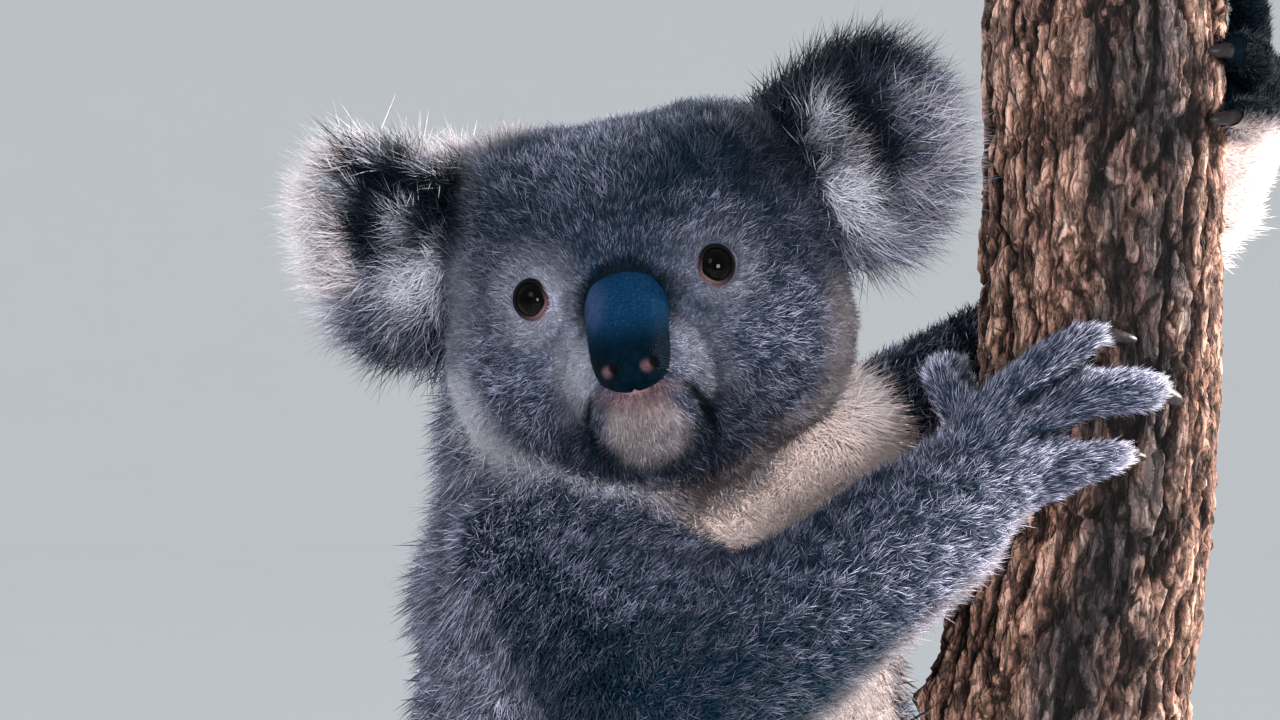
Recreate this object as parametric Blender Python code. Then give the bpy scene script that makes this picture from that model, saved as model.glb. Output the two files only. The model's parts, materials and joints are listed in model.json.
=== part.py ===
"""A life-size koala clinging to a cut length of trunk, held on a round display base.

World axes: +Z up, the trunk stands on the +X side of the animal, and its right flank faces -Y.
The origin is the centre of the base's underside. All sizes are in metres.
"""

import math

import bmesh
import bpy
from mathutils import Matrix, Vector

# Clearance between pieces that touch, and the width of a cut through the body.
GAP = 0.0003

# About how many triangles each blended mass keeps.
TRIANGLES = {
    "head": 1000,
    "ear": 160,
    "ear hollow": 90,
    "torso": 700,
    "arm": 320,
    "leg": 320,
    "hand_right": 400,
    "hand_left": 260,
    "foot_right": 260,
    "foot_left": 260,
    "knot": 80,
}

# Display stand.
BASE_RADIUS = 0.180
BASE_HEIGHT = 0.022
BASE_EDGE = 0.003
ROD_RADIUS = 0.0125

# Perch: height, sideways place of the middle, and radius, from the foot up.
PERCH_LINE = (
    (0.070, 0.034, 0.0450),
    (0.200, 0.040, 0.0450),
    (0.330, 0.043, 0.0455),
    (0.420, 0.0535, 0.0440),
    (0.500, 0.0680, 0.0405),
    (0.600, 0.0700, 0.0400),
    (0.745, 0.0700, 0.0400),
)
PERCH_SIDES = 20
PERCH_RINGS = 13
BARK_RIDGE = 0.0011
BARK_RIDGES_ROUND = 5
BARK_TWIST = 9.0
KNOT_PLACE = (0.0045, -0.012, 0.430)
KNOT_RADII = (0.0110, 0.0068, 0.0064)
KNOT_LOBE_RISE = 0.0035

# Head: where the skull's middle is and how it is turned. Its own axes are X to the animal's
# left, -Y forward and Z up, with Z = 0 on the line of the eyes.
HEAD_MIDDLE = Vector((-0.0868, -0.038, 0.565))
HEAD_YAW = math.radians(-7.0)
HEAD_ROLL = math.radians(-10.5)
EYE_SPREAD = 0.0290
EYE_RADIUS = 0.0082
EYE_FORWARD = 0.0490
EARS = {
    "right": ((-0.0850, 0.0100, 0.0290), (0.0340, 0.0135, 0.0440)),
    "left": ((0.0785, 0.0100, 0.0310), (0.0365, 0.0135, 0.0405)),
}
EAR_LEAN = math.radians(16.0)
EAR_FACING = math.radians(20.0)

# Masses of the skull: middle and radii. The first row is central and the second is on both sides.
SKULL_MASSES = (
    ((0.0, 0.004, 0.008), (0.0640, 0.0660, 0.0500)),
    ((0.0, -0.008, -0.042), (0.0430, 0.0440, 0.0310)),
    ((0.0, -0.047, -0.030), (0.0265, 0.0270, 0.0250)),
    ((0.0, -0.043, -0.047), (0.0170, 0.0190, 0.0130)),
)
CHEEK_MASSES = (
    ((0.024, 0.002, 0.026), (0.0360, 0.0480, 0.0330)),
    ((0.033, -0.008, -0.020), (0.0365, 0.0420, 0.0390)),
    ((0.027, -0.036, 0.012), (0.0160, 0.0170, 0.0110)),
)
EAR_ROOT = ((0.056, 0.010, 0.036), (0.0260, 0.0140, 0.0270))
EAR_HOLLOW_SHIFT = (0.004, -0.0155, 0.0)
EAR_HOLLOW_RADII = (0.0200, 0.0070, 0.0270)

# Nose: height, half width and how far forward it stands, from its top to its underside.
NOSE_ROWS = (
    (0.0045, 0.0068, 0.0585),
    (0.0015, 0.0114, 0.0628),
    (-0.0040, 0.0133, 0.0672),
    (-0.0100, 0.0138, 0.0712),
    (-0.0160, 0.0135, 0.0750),
    (-0.0220, 0.0131, 0.0784),
    (-0.0280, 0.0127, 0.0798),
    (-0.0325, 0.0106, 0.0786),
    (-0.0354, 0.0064, 0.0745),
)
NOSE_BACK = 0.0480
NOSE_COLUMNS = 10
NOSE_SQUARENESS = 2.8

# Torso: middle and radii of each mass.
TORSO_MASSES = {
    "neck": ((-0.0960, -0.006, 0.5180), (0.0620, 0.0620, 0.0560)),
    "throat": ((-0.0380, 0.012, 0.5000), (0.0430, 0.0480, 0.0450)),
    "nape": ((-0.0990, 0.000, 0.4870), (0.0590, 0.0700, 0.0450)),
    "withers": ((-0.0980, 0.000, 0.4560), (0.0680, 0.0840, 0.0560)),
    "chest": ((-0.0800, 0.000, 0.4150), (0.0890, 0.0890, 0.0950)),
    "waist": ((-0.0860, 0.000, 0.3600), (0.0910, 0.0940, 0.0900)),
    "belly": ((-0.0940, 0.000, 0.3000), (0.0950, 0.0980, 0.1050)),
    "rump": ((-0.0860, 0.000, 0.2320), (0.0880, 0.0970, 0.0820)),
}
NECK_CUT = (-0.0900, 0.0000, 0.4800)
NECK_CUT_NORMAL = (0.0, -0.35, 0.94)

# Limbs: each joint's place and the limb's radius there, coat included.
ARM_RIGHT = {
    "shoulder": ((-0.1060, -0.0420, 0.4740), 0.0450),
    "elbow": ((-0.0760, -0.1040, 0.4340), 0.0370),
    "forearm": ((-0.0270, -0.0890, 0.4655), 0.0280),
    "forearm end": ((0.0080, -0.0700, 0.4890), 0.0245),
    "wrist": ((0.0250, -0.0600, 0.5050), 0.0190),
}
ARM_LEFT = {
    "shoulder": ((-0.0950, 0.0480, 0.4700), 0.0440),
    "elbow": ((-0.0050, 0.0780, 0.5120), 0.0280),
    "forearm": ((0.0450, 0.0750, 0.5430), 0.0230),
    "forearm end": ((0.0900, 0.0600, 0.5790), 0.0200),
    "wrist": ((0.1130, 0.0440, 0.6020), 0.0175),
}
LEG = {
    "hip": ((-0.0920, 0.0480, 0.2400), 0.0710),
    "thigh": ((-0.0600, 0.0780, 0.2600), 0.0610),
    "knee": ((-0.0220, 0.0990, 0.2820), 0.0440),
    "shin": ((0.0000, 0.0900, 0.2380), 0.0370),
    "ankle": ((0.0150, 0.0750, 0.1960), 0.0290),
}
LEFT_LEG_RISE = 0.022
WRIST_CUT = 0.004
ANKLE_CUT = 0.006
CLAW_HOOK = 0.0022
CLAW_TAPER = 0.6

# Hands and feet: each point is an angle round the perch from +X towards +Y in degrees, a height
# and a lift off the bark, with the radius there. Digits run from root to tip, and a claw from
# its root in the tip to its point, with its radius.
PALM_RIGHT = ((-124, 0.5126, 0.0300, 0.0180), (-119, 0.5197, 0.0240, 0.0145))
DIGITS_RIGHT_HAND = {
    "1": ((-138, 0.5192, 0.0263, 0.0075), (-158, 0.5265, 0.0124, 0.0064), (-175, 0.5320, 0.0080, 0.0056)),
    "2": (
        (-137, 0.5236, 0.0290, 0.0068),
        (-147, 0.5346, 0.0298, 0.0056),
        (-158, 0.5385, 0.0195, 0.0048),
        (-166, 0.5385, 0.0105, 0.0042),
    ),
    "3": (
        (-123, 0.5265, 0.0300, 0.0086),
        (-114, 0.5385, 0.0195, 0.0080),
        (-105, 0.5450, 0.0118, 0.0075),
        (-98, 0.5470, 0.0082, 0.0063),
    ),
    "4": (
        (-120, 0.5178, 0.0288, 0.0088),
        (-112, 0.5246, 0.0216, 0.0080),
        (-102, 0.5286, 0.0150, 0.0077),
        (-88, 0.5303, 0.0096, 0.0080),
        (-77, 0.5302, 0.0084, 0.0069),
    ),
    "5": (
        (-116, 0.5006, 0.0241, 0.0086),
        (-104, 0.5064, 0.0158, 0.0075),
        (-94, 0.5086, 0.0106, 0.0064),
        (-86, 0.5097, 0.0066, 0.0044),
    ),
}
CLAWS_RIGHT_HAND = {
    "1": ((-176, 0.5324, 0.0085), (172, 0.5312, 0.0015), 0.0022),
    "2": ((-168, 0.5390, 0.0090), (-177, 0.5388, 0.0015), 0.0022),
    "3": ((-95, 0.5490, 0.0079), (-80, 0.5468, 0.0028), 0.0027),
    "4": ((-74, 0.5303, 0.0084), (-58, 0.5262, 0.0026), 0.0037),
    "5": ((-85, 0.5097, 0.0058), (-75, 0.5080, 0.0018), 0.0021),
}
PALM_LEFT = ((34, 0.6200, 0.0190, 0.0180), (24, 0.6340, 0.0150, 0.0155))
DIGITS_LEFT_HAND = {
    "1": ((40, 0.6280, 0.0180, 0.0085), (66, 0.6380, 0.0110, 0.0070), (88, 0.6430, 0.0070, 0.0060)),
    "2": ((36, 0.6440, 0.0160, 0.0085), (60, 0.6570, 0.0090, 0.0070), (80, 0.6640, 0.0068, 0.0060)),
    "3": ((22, 0.6480, 0.0150, 0.0085), (0, 0.6600, 0.0090, 0.0073), (-24, 0.6660, 0.0070, 0.0062)),
    "4": ((18, 0.6380, 0.0150, 0.0085), (-8, 0.6420, 0.0090, 0.0076), (-31, 0.6440, 0.0074, 0.0068)),
    "5": ((18, 0.6240, 0.0150, 0.0080), (-8, 0.6220, 0.0090, 0.0074), (-30, 0.6220, 0.0070, 0.0064)),
}
CLAWS_LEFT_HAND = {
    "1": ((86, 0.6430, 0.0070), (101, 0.6425, 0.0022), 0.0028),
    "2": ((78, 0.6640, 0.0068), (94, 0.6650, 0.0022), 0.0028),
    "3": ((-22, 0.6660, 0.0070), (-39, 0.6660, 0.0022), 0.0032),
    "4": ((-29, 0.6440, 0.0074), (-46, 0.6430, 0.0022), 0.0034),
    "5": ((-28, 0.6220, 0.0070), (-45, 0.6200, 0.0022), 0.0030),
}
SOLE = ((-119, 0.1620, 0.0190, 0.0190), (-101, 0.1840, 0.0160, 0.0190), (-86, 0.2030, 0.0130, 0.0160))
DIGITS_FOOT = {
    "1": ((-112, 0.1850, 0.0130, 0.0100), (-134, 0.1950, 0.0095, 0.0088), (-150, 0.2050, 0.0088, 0.0078)),
    "2": ((-86, 0.2170, 0.0120, 0.0100), (-70, 0.2350, 0.0095, 0.0088), (-60, 0.2460, 0.0085, 0.0075)),
    "4": ((-80, 0.2110, 0.0120, 0.0100), (-52, 0.2210, 0.0095, 0.0088), (-30, 0.2280, 0.0085, 0.0076)),
    "5": ((-78, 0.1960, 0.0120, 0.0095), (-50, 0.2000, 0.0095, 0.0084), (-29, 0.2030, 0.0080, 0.0072)),
}
CLAWS_FOOT = {
    "2": ((-60, 0.2470, 0.0070), (-54, 0.2560, 0.0030), 0.0017),
    "3": ((-63, 0.2470, 0.0105), (-57, 0.2580, 0.0075), 0.0017),
    "4": ((-32, 0.2270, 0.0075), (-16, 0.2300, 0.0025), 0.0030),
    "5": ((-31, 0.2040, 0.0072), (-15, 0.2050, 0.0025), 0.0030),
}


def clear_scene():
    for thing in list(bpy.data.objects):
        bpy.data.objects.remove(thing, do_unlink=True)


def make_material(name, colour, roughness, metallic=0.0):
    made = bpy.data.materials.new(name)
    made.use_nodes = True
    surface = made.node_tree.nodes["Principled BSDF"]
    surface.inputs["Base Color"].default_value = (*colour, 1.0)
    surface.inputs["Roughness"].default_value = roughness
    surface.inputs["Metallic"].default_value = metallic
    made.diffuse_color = (*colour, 1.0)
    return made


def add_object(name, bm):
    bmesh.ops.recalc_face_normals(bm, faces=bm.faces)
    mesh = bpy.data.meshes.new(name)
    bm.to_mesh(mesh)
    bm.free()
    made = bpy.data.objects.new(name, mesh)
    bpy.context.scene.collection.objects.link(made)
    return made


def settle(obj):
    """Turns the object's modifiers into plain mesh."""
    bpy.context.view_layer.update()
    graph = bpy.context.evaluated_depsgraph_get()
    settled = bpy.data.meshes.new_from_object(obj.evaluated_get(graph))
    obj.modifiers.clear()
    obj.data = settled


def finish(obj, material):
    """Gives the piece its material and its smooth shading."""
    obj.data.materials.clear()
    obj.data.materials.append(material)
    obj.data.shade_smooth()
    obj.data.set_sharp_from_angle(angle=math.radians(40))
    return obj


def add_ball(bm, middle, radii, frame=None, turn=None):
    """Adds an ellipsoid. The frame places its middle, and the turn tilts it about that."""
    place = (frame or Matrix()) @ Matrix.Translation(middle) @ (turn or Matrix())
    matrix = place @ Matrix.Diagonal((*radii, 1.0))
    bmesh.ops.create_icosphere(bm, subdivisions=4, radius=1.0, matrix=matrix)


def add_limb(bm, joints, sides=28):
    """Adds a limb of balls at its joints, with a cone from each to the next."""
    for point, radius in joints:
        add_ball(bm, point, (radius, radius, radius))
    for (start, start_radius), (end, end_radius) in zip(joints, joints[1:]):
        start, end = Vector(start), Vector(end)
        along = end - start
        turn = along.to_track_quat("Z", "Y").to_matrix().to_4x4()
        place = Matrix.Translation((start + end) / 2) @ turn
        bmesh.ops.create_cone(
            bm,
            cap_ends=True,
            segments=sides,
            radius1=start_radius,
            radius2=end_radius,
            depth=along.length,
            matrix=place,
        )


def blend(name, bm, triangles, voxel=0.0025, rounds=8):
    """Melts overlapping masses into one smooth closed solid of about so many triangles."""
    made = add_object(name, bm)
    remesh = made.modifiers.new("Remesh", "REMESH")
    remesh.mode = "VOXEL"
    remesh.voxel_size = voxel
    smooth = made.modifiers.new("Smooth", "SMOOTH")
    smooth.factor = 0.5
    smooth.iterations = rounds
    settle(made)
    whole = sum(len(face.vertices) - 2 for face in made.data.polygons)
    decimate = made.modifiers.new("Decimate", "DECIMATE")
    decimate.ratio = triangles / whole
    settle(made)
    return made


def keep_largest(obj):
    """Drops the crumbs that a cut leaves beside the main piece."""
    bm = bmesh.new()
    bm.from_mesh(obj.data)
    bm.verts.ensure_lookup_table()
    left = set(bm.verts)
    pieces = []
    while left:
        reached = {left.pop()}
        edge = list(reached)
        while edge:
            vert = edge.pop()
            for link in vert.link_edges:
                other = link.other_vert(vert)
                if other in left:
                    left.discard(other)
                    reached.add(other)
                    edge.append(other)
        pieces.append(reached)
    pieces.sort(key=len)
    for crumb in pieces[:-1]:
        bmesh.ops.delete(bm, geom=list(crumb), context="VERTS")
    bm.to_mesh(obj.data)
    bm.free()


def carve(target, *cutters, gap=1.5 * GAP):
    """Cuts the other pieces out of this one, each swelled by the gap."""
    for cutter in cutters:
        tool = cutter.copy()
        tool.data = cutter.data.copy()
        bpy.context.scene.collection.objects.link(tool)
        swell = tool.modifiers.new("Swell", "DISPLACE")
        swell.mid_level = 0.0
        swell.strength = gap
        settle(tool)
        cut = target.modifiers.new("Cut", "BOOLEAN")
        cut.operation = "DIFFERENCE"
        cut.object = tool
        settle(target)
        bpy.data.objects.remove(tool, do_unlink=True)
    keep_largest(target)


def trim(obj, point, normal):
    """Cuts the piece off flat at a plane and keeps the side the normal points away from."""
    bm = bmesh.new()
    bm.from_mesh(obj.data)
    normal = Vector(normal).normalized()
    bmesh.ops.bisect_plane(
        bm,
        geom=bm.verts[:] + bm.edges[:] + bm.faces[:],
        dist=1e-6,
        plane_co=Vector(point) - normal * GAP / 2,
        plane_no=normal,
        clear_outer=True,
    )
    rim = [edge for edge in bm.edges if edge.is_boundary]
    bmesh.ops.holes_fill(bm, edges=rim)
    bm.to_mesh(obj.data)
    bm.free()


def split(obj, other_name, point, normal):
    """Parts a piece at a plane. The part the normal points to becomes a new object."""
    other = obj.copy()
    other.data = obj.data.copy()
    other.name = other_name
    bpy.context.scene.collection.objects.link(other)
    trim(obj, point, normal)
    trim(other, point, -Vector(normal))
    return other


def perch_at(height):
    """The sideways place of the perch's middle, and its radius, at a height."""
    last = len(PERCH_LINE) - 2
    for step in range(last + 1):
        low, x_low, radius_low = PERCH_LINE[step]
        high, x_high, radius_high = PERCH_LINE[step + 1]
        if height <= high or step == last:
            share = min(max((height - low) / (high - low), 0.0), 1.0)
            return x_low + (x_high - x_low) * share, radius_low + (radius_high - radius_low) * share


def on_perch(degrees, height, lift):
    """A point over the bark. The angle runs from +X towards +Y."""
    x, radius = perch_at(height)
    angle = math.radians(degrees)
    reach = radius + lift
    return Vector((x + reach * math.cos(angle), reach * math.sin(angle), height))


def make_perch(material):
    """A leaning trunk with shallow ridges of bark and the stub of a knot."""
    bm = bmesh.new()
    low, high = PERCH_LINE[0][0], PERCH_LINE[-1][0]
    rings = []
    for step in range(PERCH_RINGS + 1):
        height = low + (high - low) * step / PERCH_RINGS
        middle, radius = perch_at(height)
        ring = []
        for side in range(PERCH_SIDES):
            angle = math.tau * side / PERCH_SIDES
            ridge = BARK_RIDGE * math.sin(BARK_RIDGES_ROUND * angle + BARK_TWIST * height)
            reach = radius + ridge
            ring.append(bm.verts.new((middle + reach * math.cos(angle), reach * math.sin(angle), height)))
        rings.append(ring)
    for lower, upper in zip(rings, rings[1:]):
        for side in range(PERCH_SIDES):
            after = (side + 1) % PERCH_SIDES
            bm.faces.new((lower[side], lower[after], upper[after], upper[side]))
    bm.faces.new(rings[0][::-1])
    bm.faces.new(rings[-1])
    perch = add_object("perch_trunk", bm)

    bm = bmesh.new()
    for lobe in (-1, 1):
        middle = Vector(KNOT_PLACE) + Vector((0.0, 0.0, lobe * KNOT_LOBE_RISE))
        matrix = Matrix.Translation(middle) @ Matrix.Diagonal((*KNOT_RADII, 1.0))
        bmesh.ops.create_icosphere(bm, subdivisions=2, radius=1.0, matrix=matrix)
    knot = blend("knot", bm, TRIANGLES["knot"], voxel=0.0015, rounds=2)
    join = perch.modifiers.new("Knot", "BOOLEAN")
    join.operation = "UNION"
    join.object = knot
    settle(perch)
    bpy.data.objects.remove(knot, do_unlink=True)
    return finish(perch, material)


def make_stand(material):
    bm = bmesh.new()
    place = Matrix.Translation((0.0, 0.0, BASE_HEIGHT / 2))
    bmesh.ops.create_cone(
        bm,
        cap_ends=True,
        segments=64,
        radius1=BASE_RADIUS,
        radius2=BASE_RADIUS,
        depth=BASE_HEIGHT,
        matrix=place,
    )
    base = add_object("stand_base", bm)
    bevel = base.modifiers.new("Edge", "BEVEL")
    bevel.width = BASE_EDGE
    bevel.segments = 2
    bevel.limit_method = "ANGLE"
    finish(base, material)

    low = BASE_HEIGHT + GAP
    high = PERCH_LINE[0][0] - GAP
    bm = bmesh.new()
    bmesh.ops.create_cone(
        bm,
        cap_ends=True,
        segments=24,
        radius1=ROD_RADIUS,
        radius2=ROD_RADIUS,
        depth=high - low,
        matrix=Matrix.Translation((PERCH_LINE[0][1], 0.0, (low + high) / 2)),
    )
    finish(add_object("stand_rod", bm), material)


def head_frame():
    turn = Matrix.Rotation(HEAD_YAW, 4, "Z") @ Matrix.Rotation(HEAD_ROLL, 4, "Y")
    return Matrix.Translation(HEAD_MIDDLE) @ turn


def make_nose(frame):
    """The bare nose: rows of points whose front follows a squared oval, closed behind."""
    bm = bmesh.new()
    rows = []
    for height, half_width, forward in NOSE_ROWS:
        row = []
        for step in range(NOSE_COLUMNS + 1):
            angle = math.pi * (step / NOSE_COLUMNS - 0.5)
            power = 2.0 / NOSE_SQUARENESS
            across = math.copysign(abs(math.sin(angle)) ** power, angle) * half_width
            ahead = NOSE_BACK + max(math.cos(angle), 0.0) ** power * (forward - NOSE_BACK)
            row.append(bm.verts.new(frame @ Vector((across, -ahead, height))))
        rows.append(row)
    for upper, lower in zip(rows, rows[1:]):
        for step in range(NOSE_COLUMNS):
            bm.faces.new((upper[step], upper[step + 1], lower[step + 1], lower[step]))
        bm.faces.new((upper[0], lower[0], lower[-1], upper[-1]))
    bm.faces.new(rows[0])
    bm.faces.new(rows[-1][::-1])
    return add_object("nose", bm)


def make_head(materials):
    frame = head_frame()

    bm = bmesh.new()
    for middle, radii in SKULL_MASSES:
        add_ball(bm, middle, radii, frame)
    for side in (-1, 1):
        for (across, back, up), radii in CHEEK_MASSES:
            add_ball(bm, (side * across, back, up), radii, frame)
    head = blend("head", bm, TRIANGLES["head"], voxel=0.0020, rounds=6)
    nose = make_nose(frame)

    eyes = []
    ears = []
    for side, name in ((-1, "right"), (1, "left")):
        middle, radii = EARS[name]
        bm = bmesh.new()
        place = frame @ Matrix.Translation((side * EYE_SPREAD, -EYE_FORWARD, 0.0))
        bmesh.ops.create_uvsphere(bm, u_segments=10, v_segments=6, radius=EYE_RADIUS, matrix=place)
        eyes.append(add_object("eye_" + name, bm))

        lean = Matrix.Rotation(side * EAR_LEAN, 4, "Y") @ Matrix.Rotation(side * EAR_FACING, 4, "Z")
        bm = bmesh.new()
        add_ball(bm, middle, radii, frame, lean)
        (across, back, up), root_radii = EAR_ROOT
        add_ball(bm, (side * across, back, up), root_radii, frame)
        ear = blend("ear_" + name, bm, TRIANGLES["ear"], voxel=0.0015, rounds=4)
        bm = bmesh.new()
        across, back, up = EAR_HOLLOW_SHIFT
        hollow = lean @ Matrix.Translation((side * across, back, up))
        add_ball(bm, middle, EAR_HOLLOW_RADII, frame, hollow)
        dish = blend("dish", bm, TRIANGLES["ear hollow"], voxel=0.0015, rounds=1)
        carve(ear, dish, gap=0.0)
        bpy.data.objects.remove(dish, do_unlink=True)
        ears.append(ear)

    carve(head, nose, *eyes)
    for ear in ears:
        carve(ear, head)
        finish(ear, materials["coat_pale"])
    finish(head, materials["coat"])
    finish(nose, materials["nose"])
    for eye in eyes:
        finish(eye, materials["eye"])
    return [head, *ears]


def make_torso(head_pieces, perch, materials):
    bm = bmesh.new()
    for middle, radii in TORSO_MASSES.values():
        add_ball(bm, middle, radii)
    torso = blend("torso", bm, TRIANGLES["torso"], voxel=0.0040, rounds=20)
    carve(torso, *head_pieces, perch)
    neck = split(torso, "neck", NECK_CUT, NECK_CUT_NORMAL)
    finish(torso, materials["coat"])
    finish(neck, materials["coat"])
    return [torso, neck]


def bend_normal(before, at, after):
    """The normal of the plane that halves the bend of a limb."""
    first = (Vector(at) - Vector(before)).normalized()
    second = (Vector(after) - Vector(at)).normalized()
    return (first + second).normalized()


def make_claw(name, root, tip, droop, radius, material):
    """A hooked claw: rings that shrink along an arc from its root to its tip."""
    root, tip, droop = Vector(root), Vector(tip), Vector(droop)
    middle = (root + tip) / 2 - droop
    sides = 6
    steps = 4
    bm = bmesh.new()
    rings = []
    for step in range(steps):
        share = step / steps
        point = root * (1 - share) ** 2 + middle * 2 * share * (1 - share) + tip * share**2
        along = (middle - root) * (1 - share) + (tip - middle) * share
        turn = along.to_track_quat("Z", "Y")
        width = radius * (1 - CLAW_TAPER * share)
        ring = []
        for side in range(sides):
            angle = math.tau * side / sides
            spot = Vector((math.cos(angle) * width, math.sin(angle) * width, 0.0))
            ring.append(bm.verts.new(point + turn @ spot))
        rings.append(ring)
    end = bm.verts.new(tip)
    for lower, upper in zip(rings, rings[1:]):
        for side in range(sides):
            after = (side + 1) % sides
            bm.faces.new((lower[side], lower[after], upper[after], upper[side]))
    for side in range(sides):
        bm.faces.new((rings[-1][side], rings[-1][(side + 1) % sides], end))
    bm.faces.new(rings[0][::-1])
    return finish(add_object(name, bm), material)


def spots_over(points, mirrored=False, rise=0.0):
    """Turns rows of angle, height, lift and the rest into places over the bark."""
    flip = -1 if mirrored else 1
    return [(on_perch(flip * angle, height + rise, lift), *rest) for angle, height, lift, *rest in points]


def claws_over(claws, mirrored=False, rise=0.0):
    placed = {}
    for label, (root, tip, radius) in claws.items():
        (root_spot,), (tip_spot,) = spots_over([root, tip], mirrored, rise)
        placed[label] = (root_spot, tip_spot, radius)
    return placed


def make_paw(name, lead, palm, digits, claws, cutters, materials):
    """A hand or foot: the end of its limb, its palm and its digits in one, and its claws."""
    bm = bmesh.new()
    add_limb(bm, [lead, *palm])
    for digit in digits.values():
        add_limb(bm, digit, sides=16)
        near = min(palm, key=lambda spot: (spot[0] - digit[0][0]).length)
        add_limb(bm, [(near[0], digit[0][1]), digit[0]], sides=16)
    paw = blend(name, bm, TRIANGLES[name], voxel=0.0012, rounds=3)
    grown = []
    for label, (root, tip, radius) in claws.items():
        axis = Vector((perch_at(tip.z)[0], 0.0, (root.z + tip.z) / 2))
        droop = (axis - (root + tip) / 2).normalized() * CLAW_HOOK
        grown.append(make_claw(f"claw_{name}_{label}", root, tip, droop, radius, materials["claw"]))
    carve(paw, *cutters, *grown)
    return finish(paw, materials["coat"])


def make_arm(side, joints, palm, digits, claws, trunk_pieces, perch, materials):
    line = list(joints.values())
    bm = bmesh.new()
    add_limb(bm, line)
    arm = blend(f"upper_arm_{side}", bm, TRIANGLES["arm"], voxel=0.0025, rounds=6)
    shoulder, elbow, forearm, forearm_end, wrist = (Vector(point) for point, _ in line)
    carve(arm, *trunk_pieces, perch)
    along = (wrist - forearm_end).normalized()
    trim(arm, wrist - along * WRIST_CUT, along)
    lower = split(arm, f"forearm_{side}", elbow, bend_normal(shoulder, elbow, forearm))
    hand = make_paw(f"hand_{side}", line[-1], palm, digits, claws, [perch], materials)
    trim(hand, wrist - along * WRIST_CUT, -along)
    finish(arm, materials["coat"])
    finish(lower, materials["coat"])
    return [arm, lower, hand]


def make_leg(side, neighbours, perch, materials):
    left = side == "left"
    rise = LEFT_LEG_RISE if left else 0.0
    line = []
    for step, (point, radius) in enumerate(LEG.values()):
        share = step / (len(LEG) - 1)
        line.append(((point[0], point[1] if left else -point[1], point[2] + rise * share), radius))
    bm = bmesh.new()
    add_limb(bm, line)
    leg = blend(f"thigh_{side}", bm, TRIANGLES["leg"], voxel=0.0030, rounds=6)
    hip, thigh, knee, shin, ankle = (Vector(point) for point, _ in line)
    carve(leg, *neighbours, perch)
    along = (ankle - shin).normalized()
    trim(leg, ankle - along * ANKLE_CUT, along)
    shank = split(leg, f"shank_{side}", knee, bend_normal(thigh, knee, shin))
    sole = spots_over(SOLE, left, rise)
    digits = {label: spots_over(points, left, rise) for label, points in DIGITS_FOOT.items()}
    claws = claws_over(CLAWS_FOOT, left, rise)
    foot = make_paw(f"foot_{side}", line[-1], sole, digits, claws, [perch, neighbours[0]], materials)
    trim(foot, ankle - along * ANKLE_CUT, -along)
    finish(leg, materials["coat"])
    finish(shank, materials["coat"])


def main():
    clear_scene()
    materials = {
        "coat": make_material("Coat", (0.155, 0.165, 0.195), 0.90),
        "coat_pale": make_material("Pale coat", (0.36, 0.36, 0.40), 0.90),
        "nose": make_material("Nose leather", (0.020, 0.030, 0.045), 0.45),
        "eye": make_material("Eye", (0.020, 0.012, 0.008), 0.08),
        "claw": make_material("Claw horn", (0.050, 0.042, 0.040), 0.40),
        "bark": make_material("Bark", (0.230, 0.110, 0.075), 0.85),
        "stand": make_material("Stand finish", (0.060, 0.060, 0.065), 0.50),
    }
    perch = make_perch(materials["bark"])
    make_stand(materials["stand"])
    head_pieces = make_head(materials)
    torso_pieces = make_torso(head_pieces, perch, materials)
    for side, joints, palm, digits, claws in (
        ("right", ARM_RIGHT, PALM_RIGHT, DIGITS_RIGHT_HAND, CLAWS_RIGHT_HAND),
        ("left", ARM_LEFT, PALM_LEFT, DIGITS_LEFT_HAND, CLAWS_LEFT_HAND),
    ):
        digits = {label: spots_over(points) for label, points in digits.items()}
        hand = (spots_over(palm), digits, claws_over(claws))
        neighbours = [*head_pieces, *torso_pieces]
        arm = make_arm(side, joints, *hand, neighbours, perch, materials)
        make_leg(side, [torso_pieces[0], *arm[:2]], perch, materials)


main()
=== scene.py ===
import json
import math

import bmesh
import bpy
import numpy as np
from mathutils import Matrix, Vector, noise
from mathutils.bvhtree import BVHTree
from mathutils.kdtree import KDTree

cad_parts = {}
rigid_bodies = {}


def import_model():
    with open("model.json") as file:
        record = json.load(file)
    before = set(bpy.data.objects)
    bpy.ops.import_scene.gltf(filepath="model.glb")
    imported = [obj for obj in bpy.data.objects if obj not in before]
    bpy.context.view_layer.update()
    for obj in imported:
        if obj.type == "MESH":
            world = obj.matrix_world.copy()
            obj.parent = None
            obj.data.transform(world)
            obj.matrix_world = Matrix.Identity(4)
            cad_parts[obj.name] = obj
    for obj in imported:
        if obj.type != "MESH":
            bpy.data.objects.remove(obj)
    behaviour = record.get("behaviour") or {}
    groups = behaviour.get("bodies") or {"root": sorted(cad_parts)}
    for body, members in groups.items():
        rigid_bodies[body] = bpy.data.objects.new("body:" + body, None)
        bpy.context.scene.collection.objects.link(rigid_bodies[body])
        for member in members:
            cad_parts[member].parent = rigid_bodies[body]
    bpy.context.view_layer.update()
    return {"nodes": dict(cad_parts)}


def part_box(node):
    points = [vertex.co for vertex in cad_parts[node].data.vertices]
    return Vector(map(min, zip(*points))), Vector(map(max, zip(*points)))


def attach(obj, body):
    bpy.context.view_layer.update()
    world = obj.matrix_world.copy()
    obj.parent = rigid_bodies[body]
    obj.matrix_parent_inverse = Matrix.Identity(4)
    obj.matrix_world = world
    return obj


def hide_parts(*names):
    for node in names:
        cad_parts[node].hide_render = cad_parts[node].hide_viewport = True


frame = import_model()
nodes = frame["nodes"]
dice = np.random.default_rng(41)
farAway = 9.0  # further than anything on the model, in metres


def deselectAll():
    if bpy.context.mode != "OBJECT":
        bpy.ops.object.mode_set(mode="OBJECT")
    bpy.ops.object.select_all(action="DESELECT")


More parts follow.
